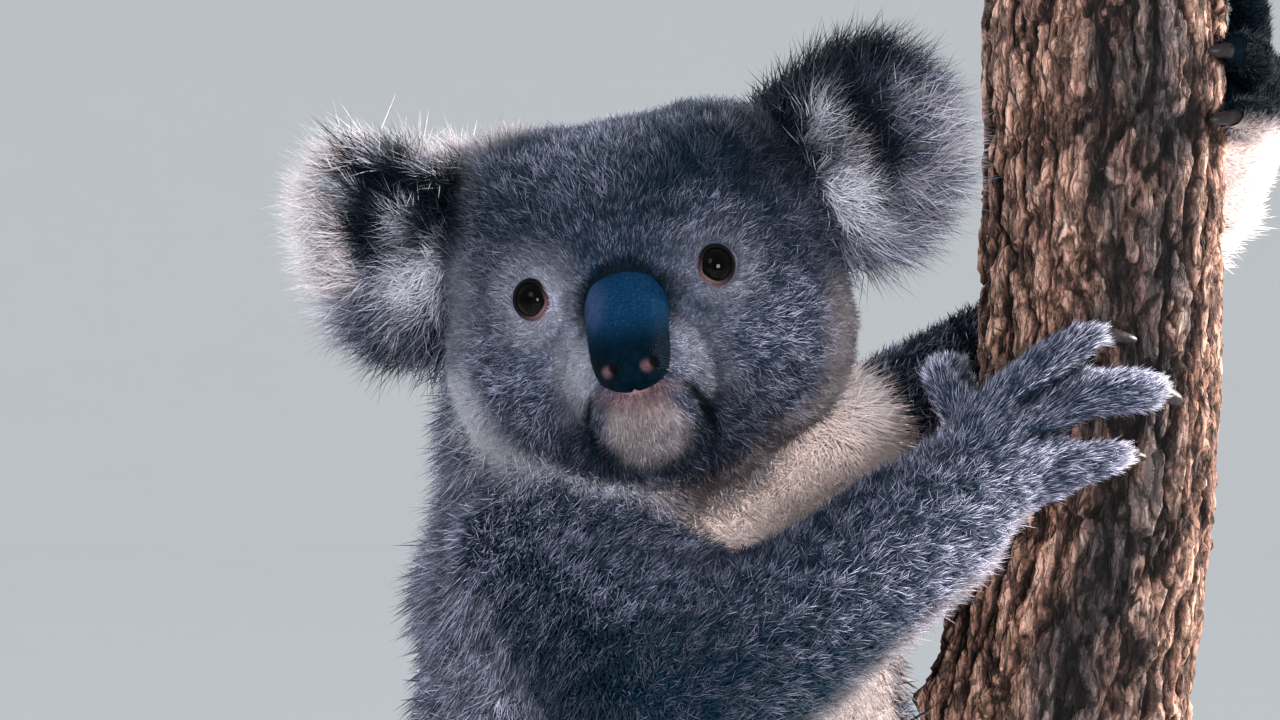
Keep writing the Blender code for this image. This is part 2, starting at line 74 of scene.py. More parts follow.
def makeActive(piece):
    deselectAll()
    piece.select_set(True)
    bpy.context.view_layer.objects.active = piece


def openMesh(piece):
    # edit mode, with all of the mesh selected
    makeActive(piece)
    bpy.ops.object.mode_set(mode="EDIT")
    bpy.ops.mesh.select_all(action="SELECT")


def closeMesh():
    bpy.ops.object.mode_set(mode="OBJECT")


def faceOutward(piece):
    openMesh(piece)
    bpy.ops.mesh.normals_make_consistent(inside=False)
    closeMesh()


def applyAll(piece):
    makeActive(piece)
    for modifier in list(piece.modifiers):
        bpy.ops.object.modifier_apply(modifier=modifier.name)


def copyOfNode(nodeName, swell=0.0):
    # a CAD node's mesh is loose triangles, so the copy is merged first
    piece = nodes[nodeName].copy()
    piece.data = nodes[nodeName].data.copy()
    piece.name = nodeName + "_copy"
    for key in list(piece.keys()):
        del piece[key]
    piece.parent = None
    bpy.context.scene.collection.objects.link(piece)
    piece.data.materials.clear()
    bm = bmesh.new()
    bm.from_mesh(piece.data)
    bmesh.ops.remove_doubles(bm, verts=bm.verts, dist=1e-6)
    bm.to_mesh(piece.data)
    bm.free()
    if swell:
        push = piece.modifiers.new("Swell", "DISPLACE")
        push.mid_level = 0.0
        push.strength = swell
        applyAll(piece)
    return piece


def remeshEvenly(piece, voxel, softening=0):
    remesh = piece.modifiers.new("Remesh", "REMESH")
    remesh.mode = "VOXEL"
    remesh.voxel_size = voxel
    if softening:
        soften = piece.modifiers.new("Soften", "SMOOTH")
        soften.iterations = softening
    applyAll(piece)


def joinAll(parts, name):
    deselectAll()
    for part in parts:
        part.select_set(True)
    bpy.context.view_layer.objects.active = parts[0]
    bpy.ops.object.join()
    parts[0].name = name
    return parts[0]


def readRows(elements, key, width, kind=np.float32):
    # one row of numbers for each element of a mesh
    flat = np.empty(len(elements) * width, kind)
    elements.foreach_get(key, flat)
    return flat.reshape(-1, width)


def pointsOf(mesh):
    return readRows(mesh.vertices, "co", 3).astype(np.float64)


def normalsOf(mesh):
    return readRows(mesh.vertex_normals, "vector", 3).astype(np.float64)


def edgesOf(mesh):
    return readRows(mesh.edges, "vertices", 2, np.int32)


def setPoints(mesh, points):
    mesh.vertices.foreach_set("co", points.astype(np.float32).ravel())
    mesh.update()


def setAttributes(mesh, **attributes):
    for name, values in attributes.items():
        layer = mesh.attributes.new(name, "FLOAT", "POINT")
        layer.data.foreach_set("value", np.asarray(values, np.float32))


def unit(vectors):
    return vectors / np.maximum(np.linalg.norm(vectors, axis=-1, keepdims=True), 1e-9)


def columns(*rows):
    return np.stack(rows, axis=1)


def step(low, high, value):
    # a smooth step from 0 at low to 1 at high
    share = np.clip((value - low) / (high - low), 0.0, 1.0)
    return share * share * (3.0 - 2.0 * share)


def blob(points, middle, radii, soft=0.35):
    # 1 inside an ellipsoid, falling to 0 over its soft rim
    reach = np.linalg.norm((points - np.array(middle)) / np.array(radii), axis=1)
    return 1.0 - step(1.0 - soft, 1.0 + soft, reach)


def bell(value, width):
    return np.exp(-((value / width) ** 2))


def boxMiddle(nodeName):
    low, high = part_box(nodeName)
    return np.array((low + high) / 2)


def ringFaces(rings, wide, closed):
    # four-sided faces between neighbouring rings of points
    here = np.arange(rings * wide).reshape(rings, wide)
    above = np.roll(here, -1, axis=0)
    faces = np.stack((here, np.roll(here, -1, axis=1), np.roll(above, -1, axis=1), above), axis=-1)
    return (faces if closed else faces[:-1]).reshape(-1, 4)


def pieceFromArrays(name, points, corners, size):
    # corners is one row of point numbers, with so many to each face
    mesh = bpy.data.meshes.new(name)
    mesh.vertices.add(len(points))
    mesh.vertices.foreach_set("co", np.asarray(points, np.float32).ravel())
    mesh.loops.add(len(corners))
    mesh.loops.foreach_set("vertex_index", np.asarray(corners, np.int32))
    count = len(corners) // size
    mesh.polygons.add(count)
    mesh.polygons.foreach_set("loop_start", np.arange(count, dtype=np.int32) * size)
    mesh.update(calc_edges=True)
    mesh.shade_smooth()
    piece = bpy.data.objects.new(name, mesh)
    bpy.context.scene.collection.objects.link(piece)
    return piece


def spread(values, edges, rounds):
    # evens values out along the edges of a mesh
    values = np.array(values, np.float64)
    flat = values.reshape(len(values), -1)
    count = np.maximum(np.bincount(edges.ravel(), minlength=len(flat)), 1)[:, None]
    first, second = edges.T
    for _ in range(rounds):
        total = columns(*(
            np.bincount(first, row[second], len(flat)) + np.bincount(second, row[first], len(flat))
            for row in flat.T
        ))
        flat = 0.5 * flat + 0.5 * total / count
    return flat.reshape(values.shape)


def ripple(points, size, seed, waves=7):
    # soft random waves of about this size, from -1 to 1
    waveDice = np.random.default_rng(seed)
    total = np.zeros(len(points))
    for _ in range(waves):
        way = unit(waveDice.normal(size=3)) * waveDice.uniform(0.7, 1.5) * 2 * math.pi / size
        total += np.sin(points @ way + waveDice.uniform(0, 2 * math.pi))
    return np.clip(total / math.sqrt(waves), -1, 1)


def shaded(colour, share):
    return tuple(value * share for value in colour)


class Wire:
    # a socket that can be added, multiplied and so on
    def __init__(self, sheet, socket):
        self.sheet = sheet
        self.socket = socket

    def sums(self, kind, other):
        return self.sheet.node("ShaderNodeMath", {"operation": kind}, {0: self, 1: other})

    def __add__(self, other):
        return self.sums("ADD", other)

    def __mul__(self, other):
        return self.sums("MULTIPLY", other)

    def __sub__(self, other):
        return self.sums("SUBTRACT", other)

    __radd__ = __add__
    __rmul__ = __mul__

    def clamped(self):
        return self.sheet.node("ShaderNodeClamp", {}, {"Value": self})

    def between(self, low, high, start=0.0, end=1.0):
        values = {"Value": self, "From Min": low, "From Max": high, "To Min": start, "To Max": end}
        return self.sheet.node("ShaderNodeMapRange", {"interpolation_type": "SMOOTHSTEP"}, values)


class Sheet:
    # one material and its nodes
    def __init__(self, name, **fixed):
        self.material = bpy.data.materials.new(name)
        self.material.use_nodes = True
        self.tree = self.material.node_tree
        self.surface = self.tree.nodes["Principled BSDF"]
        for socketName, value in fixed.items():
            self.socketOf(socketName).default_value = value

    def socketOf(self, socketName):
        # base_color is the socket Base Color, and so on
        return next(s for s in self.surface.inputs if s.name.lower() == socketName.replace("_", " "))

    def node(self, kind, settings=None, values=None, out=0):
        made = self.tree.nodes.new(kind)
        for key, value in (settings or {}).items():
            setattr(made, key, value)
        for key, value in (values or {}).items():
            self.feed(made.inputs[key], value)
        return Wire(self, made.outputs[out])

    def feed(self, socket, value):
        if isinstance(value, Wire):
            self.tree.links.new(value.socket, socket)
        elif isinstance(value, tuple) and len(value) == 3 and len(socket.default_value) == 4:
            socket.default_value = (*value, 1.0)
        else:
            socket.default_value = value

    def mixColour(self, factor, first, second, blend="MIX"):
        values = {0: factor, 6: first, 7: second}
        return self.node("ShaderNodeMix", {"data_type": "RGBA", "blend_type": blend}, values, out=2)

    def layers(self, colour, *coats):
        # each coat says how far it covers what is under it, and its colour
        for cover, over in coats:
            colour = self.mixColour(cover, colour, over)
        return colour

    def dimmed(self, colour, light):
        grey = self.node("ShaderNodeCombineColor", {}, {0: light, 1: light, 2: light})
        return self.mixColour(1.0, colour, grey, "MULTIPLY")

    def ramp(self, value, stops):
        made = self.node("ShaderNodeValToRGB", {}, {"Fac": value})
        elements = made.socket.node.color_ramp.elements
        while len(elements) < len(stops):
            elements.new(0.5)
        for element, (place, colour) in zip(elements, stops):
            element.position = place
            element.color = (*colour, 1.0)
        return made

    def place(self, *scale):
        coords = self.node("ShaderNodeTexCoord", out=3)
        return self.node("ShaderNodeMapping", {}, {"Vector": coords, "Scale": scale or (1.0, 1.0, 1.0)})

    def attribute(self, name):
        return self.node("ShaderNodeAttribute", {"attribute_name": name}, out=2)

    def noise(self, vector, scale, detail=3.0, roughness=0.55):
        values = {"Vector": vector, "Scale": scale, "Detail": detail, "Roughness": roughness}
        return self.node("ShaderNodeTexNoise", {}, values)

    def cracks(self, vector, scale, feature="DISTANCE_TO_EDGE"):
        return self.node("ShaderNodeTexVoronoi", {"feature": feature}, {"Vector": vector, "Scale": scale})

    def bump(self, height, strength, distance):
        values = {"Height": height, "Strength": strength, "Distance": distance}
        return self.node("ShaderNodeBump", {}, values)

    def paint(self, **wires):
        for socketName, value in wires.items():
            self.feed(self.socketOf(socketName), value)
        return self.material


sides = ("right", "left")
eyeMiddles = {side: boxMiddle("eye_" + side) for side in sides}
eyeSize = np.array(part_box("eye_right")[1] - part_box("eye_right")[0])
eyeRadius = float(eyeSize.mean()) / 2
browMiddle = (eyeMiddles["right"] + eyeMiddles["left"]) / 2
acrossHead = unit(eyeMiddles["left"] - eyeMiddles["right"])
aheadOfHead = unit(np.array((acrossHead[1], -acrossHead[0], 0.0)))
upHead = np.cross(aheadOfHead, acrossHead)
headTurn = np.stack((acrossHead, aheadOfHead, upHead))  # rows: to its left, forward, up


def inHead(points):
    # x to the animal's left, y forward and z up, from between the eyes
    return (points - browMiddle) @ headTurn.T


def outOfHead(local):
    return np.asarray(local, float) @ headTurn + browMiddle


armParts = ("upper_arm", "forearm", "hand")
legParts = ("thigh", "shank", "foot")
fleshNames = ["head", "neck", "torso", "ear_right", "ear_left"]
fleshNames += [f"{part}_{side}" for part in armParts + legParts for side in sides]
partOf = {name: place for place, name in enumerate(fleshNames)}
middles = {name: pointsOf(nodes[name].data).mean(0) for name in fleshNames}


def perPart(kind):
    # the value of this kind for each flesh node, left and right alike
    parts = [name.rsplit("_", 1)[0] if name.endswith(sides) else name for name in fleshNames]
    return np.array([partCoat[part][partKinds.index(kind)] for part in parts], float)


def shareOf(shares, *names):
    # how much each point belongs to these parts
    return sum(shares[:, partOf[name]] for name in names)


def bothSides(*parts):
    return [f"{part}_{side}" for part in parts for side in sides]


def findPerchRings():
    # height, middle and radius of each ring of points on the perch's CAD node
    points = pointsOf(nodes["perch_trunk"].data)
    rings = []
    for level in np.unique(np.round(points[:, 2], 4)):
        ring = points[np.abs(points[:, 2] - level) < 2e-4]
        wide = np.ptp(ring, axis=0)
        if wide[0] < 0.06 or abs(wide[0] - wide[1]) > 0.003:
            continue  # points of the knot
        middle = (ring.max(0) + ring.min(0)) / 2
        reach = np.linalg.norm(ring[:, :2] - middle[:2], axis=1)
        rings.append((ring[:, 2].mean(), middle[0], middle[1], reach.mean()))
    return np.array(rings).T


perchRings = findPerchRings()


def perchAt(heights):
    # the middle and the radius of the perch at these heights
    return [np.interp(heights, perchRings[0], row) for row in perchRings[1:]]


def aroundPerch(points):
    # the way from the perch's middle line, the distance from it, and the perch's radius there
    middleX, middleY, radius = perchAt(points[:, 2])
    aside = points[:, :2] - columns(middleX, middleY)
    return aside, np.linalg.norm(aside, axis=1), radius


studio = {
    "cameraPlace": (-0.088, -1.447, 0.5405), "lens": 120.0, "clipStart": 0.05,
    "air": (0.84, 0.89, 0.96), "airStrength": 0.80,
    "floorColour": (0.80, 0.80, 0.79), "floorFlat": 9.0, "floorEdge": 14.0, "floorRise": 5.0,
    "floorSides": 96, "floorSteps": 10,
    "lights": (
        # name, place, size, power, colour, aimed at, half the angle that it spreads over
        ("rim_light", (-0.75, 1.45, 1.70), 1.0, 72.0, (1.0, 0.96, 0.91), (-0.08, 0.0, 0.55), 90),
        ("side_light", (1.30, 0.50, 0.90), 0.28, 105.0, (1.0, 0.89, 0.82), (0.08, 0.0, 0.56), 30),
        ("front_light", (-0.85, -1.60, 1.35), 0.70, 12.0, (0.82, 0.90, 1.0), (-0.09, -0.05, 0.52), 90),
        ("chest_light", (0.30, -1.45, 0.57), 0.35, 24.0, (1.0, 0.92, 0.90), (-0.03, -0.02, 0.50), 90),
    ),
}


def buildStudio():
    scene = bpy.context.scene
    scene.view_settings.view_transform = "Standard"
    deselectAll()
    bpy.ops.object.camera_add(location=studio["cameraPlace"], rotation=(math.radians(90), 0, 0))
    camera = bpy.context.object
    camera.name = "main_camera"
    camera.data.lens = studio["lens"]
    camera.data.clip_start = studio["clipStart"]
    scene.camera = camera

    world = bpy.data.worlds.new("studio_air")
    world.use_nodes = True
    air = world.node_tree.nodes["Background"]
    air.inputs["Color"].default_value = (*studio["air"], 1.0)
    air.inputs["Strength"].default_value = studio["airStrength"]
    scene.world = world

    for name, place, size, power, colour, target, reach in studio["lights"]:
        bpy.ops.object.light_add(type="AREA", location=place)
        light = bpy.context.object
        light.name = name
        light.data.size = size
        light.data.energy = power
        if reach < 90:
            # a narrow light is as bright on its axis as a wide one of the same power here
            half = math.radians(reach)
            light.data.spread = 2 * half
            light.data.energy = power * (math.tan(half) - half) / math.tan(half)
        light.data.color = colour
        aim = Vector(target) - Vector(place)
        light.rotation_euler = aim.to_track_quat("-Z", "Y").to_euler()
    layFloor()


def layFloor():
    # a wide round floor whose far edge curves up
    flat, steps = studio["floorFlat"], studio["floorSteps"]
    deselectAll()
    bpy.ops.mesh.primitive_circle_add(vertices=studio["floorSides"], radius=flat, fill_type="NGON")
    floor = bpy.context.object
    floor.name = "studio_floor"
    openMesh(floor)
    reach = studio["floorEdge"] - flat
    for turn in range(steps):
        bpy.ops.mesh.extrude_region_move()
        angle = [math.pi / 2 * (turn + share) / steps for share in (0, 1)]
        outward = math.sin(angle[1]) - math.sin(angle[0])
        upward = math.cos(angle[0]) - math.cos(angle[1])
        radius = flat + reach * math.sin(angle[0])
        grow = (radius + reach * outward) / radius
        bpy.ops.transform.resize(value=(grow, grow, 1.0), center_override=(0, 0, 0))
        bpy.ops.transform.translate(value=(0, 0, studio["floorRise"] * upward))
    bpy.ops.mesh.delete(type="ONLY_FACE")
    closeMesh()
    paper = Sheet("studio_paper", base_color=(*studio["floorColour"], 1.0), roughness=0.9)
    grain = paper.noise(paper.place(), 3.0)
    tint = paper.mixColour(grain, studio["floorColour"], shaded(studio["floorColour"], 0.97))
    floor.data.materials.append(paper.paint(base_color=tint))


skinShape = {
    "swell": 0.0006, "handSwell": -0.0010, "wristBall": 0.0125,
    "voxel": 0.0020, "softening": 5, "triangles": 126000, "blendRounds": 12,
    # how far the full mesh reaches, and how far the finer meshes reach on the face
    "fullFace": 0.062, "fullPaw": {"hand": 0.060, "foot": 0.050},
    "finerReach": 0.052, "finestEye": 0.0155, "finestMouth": 0.022, "softFace": (0.07, 0.04),
    # how much of an ear's width and thickness stays, and how far in from its edge it is hinged
    "earKeep": (0.76, 0.60), "earHinge": 0.36,
    # the fold from the side of the nose past the corner of the mouth: across and height
    "lipLine": (
        (0.0115, -0.0315), (0.0155, -0.0350), (0.0182, -0.0420), (0.0180, -0.0500), (0.0150, -0.0580),
    ),
    "lipDepth": 0.0020, "lipWidth": 0.0017, "chinRise": 0.0006, "underNose": 0.0032,
    # where the fingers of the near hand part: across and height of each end
    "creases": (((0.0680, 0.5460), (0.0340, 0.5255)), ((0.0600, 0.5160), (0.0370, 0.5160))),
    "creaseWidth": 0.0017, "creaseDepth": 0.0034,
    "jawGap": (-0.092, -0.110, 0.498), "jawGapDepth": 0.0065,
}

# for each part: the coat's depth over the skin, a tuft's length and its width at the root, how far
# it stands off the skin in degrees, tufts to a square centimetre, and how pale the tips are
partKinds = ("depth", "length", "width", "lift", "density", "light")
partCoat = {
    "head": (0.0048, 0.0064, 0.00058, 36, 320, 0.39),
    "ear": (0.0012, 0.0130, 0.00046, 24, 230, 0.45),
    "neck": (0.0085, 0.0115, 0.0012, 40, 40, 0.62),
    "torso": (0.0085, 0.0155, 0.0019, 38, 13, 0.78),
    "upper_arm": (0.0055, 0.0075, 0.00074, 38, 188, 0.37),
    "forearm": (0.0040, 0.0066, 0.00068, 36, 204, 0.39),
    "hand": (0.0002, 0.0054, 0.00056, 24, 250, 0.72),
    "thigh": (0.0085, 0.0150, 0.0019, 38, 13, 0.62),
    "shank": (0.0065, 0.0115, 0.0017, 34, 18, 0.60),
    "foot": (0.0016, 0.0048, 0.0010, 24, 40, 0.55),
}

coat = {
    "quickDensity": 0.35,
    # what replaces these values on the face, on the rim of the ears and on the shoulder and chest
    "face": {"length": 0.0030, "lift": 26},
    "fringe": {"length": 0.0240, "lift": 8, "width": 0.00045},
    "fine": {"density": 165, "width": 0.00082, "length": 0.0098},
    "faceWidth": 0.00042, "faceDensity": 430, "fringeDensity": 130,
    "farDensity": 0.35, "farWidth": 1.5,  # the left arm, which has the coarser coat
    "sunk": 0.0004, "patch": 0.003, "clearOfPerch": 0.0006, "clearOfClaws": 0.0022,
    "piece": 190000,  # most triangles in one piece
}

eyeShape = {
    "setBack": 0.0016, "turnedOut": math.radians(14), "turnedUp": math.radians(3),
    "halfWidth": math.radians(35), "halfHeight": math.radians(42.5), "innerCorner": 0.13,
    "socketReach": 0.020, "socketShare": 3.2, "bareReach": 0.017, "bareShare": 1.38, "lidHeight": 0.0005,
    "sunk": 0.0016, "lidSides": 72,
    # the rim of the lids: openings out from the gaze, and height over the eyeball
    "lidRim": (
        (0.990, -0.0012), (0.985, 0.0001), (1.000, 0.0005), (1.030, 0.0008), (1.070, 0.0009),
        (1.120, 0.0008), (1.190, 0.0005), (1.280, -0.0002), (1.330, -0.0014), (1.120, -0.0022),
    ),
}


def buildSkin():
    parts = []
    for name in fleshNames + ["nose", "eye_right", "eye_left"]:
        parts.append(copyOfNode(name, skinShape["handSwell" if "hand" in name else "swell"]))
    for side in sides:
        # a ball in each wrist, because the hands are slimmed so that their fingers stay apart
        hand = pointsOf(nodes["hand_" + side].data)
        away = np.linalg.norm(hand - middles["forearm_" + side], axis=1)
        wrist = hand[away < np.percentile(away, 12)].mean(0)
        deselectAll()
        radius = skinShape["wristBall"]
        bpy.ops.mesh.primitive_ico_sphere_add(subdivisions=3, radius=radius, location=wrist)
        makeActive(bpy.context.object)
        bpy.ops.object.transform_apply(location=True)
        parts.append(bpy.context.object)
    skin = joinAll(parts, "koala_skin")
    remeshEvenly(skin, skinShape["voxel"], skinShape["softening"])
    keepOuterShell(skin)
    thinSkin(skin)
    refineFace(skin)
    layUnderCoat(skin)
    for side in sides:
        sinkEye(skin, side)
    lids = [buildLids(side) for side in sides]
    skin = joinAll([skin] + lids, "koala_skin")
    openMesh(skin)
    bpy.ops.uv.smart_project(angle_limit=math.radians(66), island_margin=0.002)
    closeMesh()
    skin.data.uv_layers[0].name = "OFBake"
    skin.data.shade_smooth()
    return skin


def keepOuterShell(piece):
    # the remesh can close small pockets between the parts, and only the outer shell stays
    openMesh(piece)
    bpy.ops.mesh.select_all(action="DESELECT")
    bm = bmesh.from_edit_mesh(piece.data)
    top = max(bm.verts, key=lambda vert: vert.co.z)
    top.select_set(True)
    bmesh.update_edit_mesh(piece.data)
    bpy.ops.mesh.select_linked()
    bpy.ops.mesh.select_all(action="INVERT")
    bpy.ops.mesh.delete(type="VERT")
    closeMesh()


def thinSkin(piece):
    # fewer triangles where the coat is long, and all of them on the face, the hands and the feet
    points = pointsOf(piece.data)
    keep = np.linalg.norm(points - outOfHead((0.0, 0.0, -0.015)), axis=1) < skinShape["fullFace"]
    for side in sides:
        for part, reach in skinShape["fullPaw"].items():
            keep |= np.linalg.norm(points - middles[f"{part}_{side}"], axis=1) < reach
    group = piece.vertex_groups.new(name="long_coat")
    group.add(np.flatnonzero(~keep).tolist(), 1.0, "REPLACE")
    group.add(np.flatnonzero(keep).tolist(), 0.02, "REPLACE")
    thin = piece.modifiers.new("Thin", "DECIMATE")
    thin.vertex_group = group.name
    thin.ratio = skinShape["triangles"] / (2 * len(piece.data.polygons))
    applyAll(piece)
    piece.vertex_groups.clear()


def refineFace(piece):
    # finer mesh over the face, and finer again round the eyes and the mouth
    mouth = outOfHead((0.0, 0.012, -0.038))
    face = outOfHead((0.0, 0.0, -0.018))
    finest = [(eyeMiddles[side], skinShape["finestEye"]) for side in sides]
    finest.append((mouth, skinShape["finestMouth"]))
    for spots in ([(face, skinShape["finerReach"])], finest):
        bm = bmesh.new()
        bm.from_mesh(piece.data)
        bm.verts.ensure_lookup_table()
        points = np.array([vert.co for vert in bm.verts])
        near = np.zeros(len(points), bool)
        for middle, reach in spots:
            near |= np.linalg.norm(points - middle, axis=1) < reach
        near &= inHead(points)[:, 1] > -0.022
        edges = [edge for edge in bm.edges if near[edge.verts[0].index] and near[edge.verts[1].index]]
        bmesh.ops.subdivide_edges(bm, edges=edges, cuts=1, use_grid_fill=True)
        bmesh.ops.triangulate(bm, faces=[face for face in bm.faces if len(face.verts) > 4])
        bm.to_mesh(piece.data)
        bm.free()
        points = pointsOf(piece.data)
        soft = spread(points, edgesOf(piece.data), 3)
        share = step(*skinShape["softFace"], np.linalg.norm(points - face, axis=1))[:, None]
        setPoints(piece.data, points * (1 - share) + soft * share)


def partShares(points, edges, rounds):
    # how much each point belongs to each part of the body
    verts, faces, owner = [], [], []
    for name in fleshNames:
        mesh = nodes[name].data
        start = len(verts)
        verts += [tuple(vert.co) for vert in mesh.vertices]
        for face in mesh.polygons:
            faces.append([start + index for index in face.vertices])
            owner.append(partOf[name])
    tree = BVHTree.FromPolygons(verts, faces)
    shares = np.zeros((len(points), len(fleshNames)))
    for place, point in enumerate(points):
        shares[place, owner[tree.find_nearest(Vector(point))[2]]] = 1.0
    return spread(shares, edges, rounds)


def earFrame(side):
    # the ear's middle, its ways outward, up and through, and its half sizes along them
    points = pointsOf(nodes["ear_" + side].data)
    middle = points.mean(0)
    _, _, ways = np.linalg.svd(points - middle, full_matrices=False)
    through = ways[2] * (1 if ways[2] @ aheadOfHead > 0 else -1)
    outward = middle - middles["head"]
    outward = unit(outward - through * (outward @ through) - upHead * (outward @ upHead))
    outward = unit(outward - through * (outward @ through))
    upward = np.cross(outward, through)
    upward *= 1 if upward @ upHead > 0 else -1
    turn = np.stack((outward, upward, through))
    half = np.array([float(np.ptp(points @ way)) / 2 for way in turn])
    centre = sum(way * ((points @ way).min() + size) for way, size in zip(turn, half))
    return {"centre": centre, "turn": turn, "half": half}


ears = {side: earFrame(side) for side in sides}


def inEar(points, side):
    # outward, up and through from the middle of the ear
    return (points - ears[side]["centre"]) @ ears[side]["turn"].T


def layUnderCoat(piece):
    # sinks the skin by the depth of the coat, and shapes ears, lips and chin
    points = pointsOf(piece.data)
    edges = edgesOf(piece.data)
    shares = partShares(points, edges, skinShape["blendRounds"])
    local = inHead(points)
    depth = shares @ perPart("depth")
    middleFace = blob(local, (0.0, 0.015, -0.022), (0.030, 0.050, 0.034), 0.5)
    eyeRound = sum(blob(local, (x, 0.0, 0.0), (0.015, 0.020, 0.015), 0.5) for x in (-0.029, 0.029))
    depth *= 1 - 0.72 * np.clip(middleFace + eyeRound, 0, 1)
    underNose = blob(local, (0.0, 0.020, -0.0150), (0.0115, 0.030, 0.0175), 0.2)
    underJaw = blob(points, skinShape["jawGap"], (0.050, 0.090, 0.017), 0.6)
    underJaw = underJaw * (1 - shareOf(shares, "head"))
    depth += skinShape["underNose"] * underNose
    depth += skinShape["creaseDepth"] * fingerCrease(points)
    depth += skinShape["jawGapDepth"] * underJaw
    normals = unit(spread(normalsOf(piece.data), edges, 8))
    points = points - normals * depth[:, None]

    flat, thin = skinShape["earKeep"]
    for side in sides:
        ear = ears[side]
        share = step(0.15, 0.85, shareOf(shares, "ear_" + side))[:, None]
        hinge = np.array((-ear["half"][0] * (1 - skinShape["earHinge"]), -ear["half"][1] * 0.12, 0.0))
        kept = hinge + (inEar(points, side) - hinge) * np.array((flat, flat, thin))
        points = points * (1 - share) + (kept @ ear["turn"] + ear["centre"]) * share

    local = inHead(points)
    chin = blob(local, (0.0, 0.010, -0.0475), (0.0150, 0.030, 0.0110), 0.5)
    local[:, 1] += skinShape["chinRise"] * chin - skinShape["lipDepth"] * lipGroove(local)
    setPoints(piece.data, outOfHead(local))


def nearLines(flat, lines):
    # distance of each flat point to the nearest of these short lines
    near = np.full(len(flat), farAway)
    for start, end in lines:
        start, along = np.array(start), np.array(end) - np.array(start)
        share = np.clip((flat - start) @ along / (along @ along), 0, 1)
        near = np.minimum(near, np.linalg.norm(flat - start - share[:, None] * along, axis=1))
    return near


def fingerCrease(points):
    near = nearLines(points[:, [0, 2]], skinShape["creases"])
    return bell(near, skinShape["creaseWidth"]) * step(-0.010, -0.030, points[:, 1])


def lipGroove(local):
    line = skinShape["lipLine"]
    near = nearLines(columns(np.abs(local[:, 0]), local[:, 2]), zip(line, line[1:]))
    return bell(near, skinShape["lipWidth"]) * step(-0.022, -0.004, local[:, 1])


def eyeFrame(side):
    # middle of the eyeball, and its ways across, up and out along the gaze
    out = 1 if side == "left" else -1
    middle = eyeMiddles[side] - aheadOfHead * eyeShape["setBack"]
    turned, raised = eyeShape["turnedOut"], eyeShape["turnedUp"]
    level = aheadOfHead * math.cos(turned) + acrossHead * out * math.sin(turned)
    gaze = unit(level + upHead * math.sin(raised))
    across = unit(np.cross(gaze, upHead))
    return middle, np.stack((across, np.cross(across, gaze), gaze))


def fromClock(clock, side, degrees):
    # the angle on the eye's clock from a place near its inner corner, on either side of the face
    inner = math.radians(degrees if side == "left" else 180 - degrees)
    return np.angle(np.exp(1j * (clock - inner)))


def eyeOpening(clock, side):
    # the half angle of the opening between the lids at each clock angle
    wide, tall = eyeShape["halfWidth"], eyeShape["halfHeight"]
    plain = wide * tall / np.sqrt((tall * np.cos(clock)) ** 2 + (wide * np.sin(clock)) ** 2)
    return plain * (1 + eyeShape["innerCorner"] * bell(fromClock(clock, side, -20), 0.35))


def aroundEye(points, side):
    # distance from the eyeball's middle, and how far out from the gaze in openings
    middle, turn = eyeFrame(side)
    local = (points - middle) @ turn.T
    reach = np.linalg.norm(local, axis=1)
    angle = np.arccos(np.clip(local[:, 2] / np.maximum(reach, 1e-9), -1, 1))
    clock = np.arctan2(local[:, 1], local[:, 0])
    return reach, angle / eyeOpening(clock, side), clock


def sinkEye(piece, side):
    # opens the skin over the eyeball and raises it into lids round the opening
    points = pointsOf(piece.data)
    reach, share, _ = aroundEye(points, side)
    near = (reach < eyeShape["socketReach"]) & (share < eyeShape["socketShare"])
    middle = eyeFrame(side)[0]
    lid = eyeRadius + eyeShape["lidHeight"] * step(1.10, 1.25, share)
    wanted = lid + (reach - lid) * step(1.40, 2.64, share)
    wanted = np.where(share < 1.10, eyeRadius - eyeShape["sunk"], wanted)
    ways = unit(points - middle)
    points[near] = middle + ways[near] * wanted[near][:, None]
    setPoints(piece.data, points)


def buildLids(side):
    # the bare rim of both lids, swept round the opening
    middle, turn = eyeFrame(side)
    steps = eyeShape["lidSides"]
    clock = np.arange(steps) * 2 * math.pi / steps
    rings = []
    for share, height in eyeShape["lidRim"]:
        angle = share * eyeOpening(clock, side)
        ring = columns(np.cos(clock) * np.sin(angle), np.sin(clock) * np.sin(angle), np.cos(angle))
        rings.append(ring * (eyeRadius + height) @ turn + middle)
    corners = ringFaces(len(rings), steps, True)[:, [0, 3, 2, 1]]
    piece = pieceFromArrays("lids_" + side, np.concatenate(rings), corners.ravel(), 4)
    faceOutward(piece)
    return piece


# soft ellipsoids of marking: middle, half sizes and softness, in the head's own ways
headSpots = {
    "hinge": ((-0.045, -0.022, 0.0575), (0.015, 0.045, 0.0085), 0.5),
    "besideEar": ((-0.060, -0.030, 0.003), (0.014, 0.050, 0.020), 0.6),
    "earShade": ((-0.056, -0.030, 0.037), (0.013, 0.050, 0.017), 0.5),
    "chin": ((-0.0005, 0.0, -0.0455), (0.0122, 0.06, 0.0104), 0.25),
    "underNose": ((0.0, 0.0, -0.0350), (0.0125, 0.06, 0.0040), 0.5),
    "mouth": ((0.0, 0.0, -0.0395), (0.0085, 0.06, 0.0045), 0.7),
    "chinCoat": ((0.0, 0.0, -0.047), (0.014, 0.06, 0.011), 0.3),
    "crestCoat": ((-0.046, -0.025, 0.055), (0.015, 0.045, 0.011), 0.5),
}

# the same in the model's own ways
bodySpots = {
    "upperChest": ((-0.004, -0.030, 0.540), (0.030, 0.090, 0.022), 0.6),
    "rump": ((-0.165, 0.0, 0.225), (0.060, 0.085, 0.060), 0.5),
    "ruffle": ((-0.006, -0.030, 0.532), (0.024, 0.080, 0.024), 0.5),
    "nape": ((-0.160, -0.020, 0.500), (0.020, 0.090, 0.045), 0.5),
}

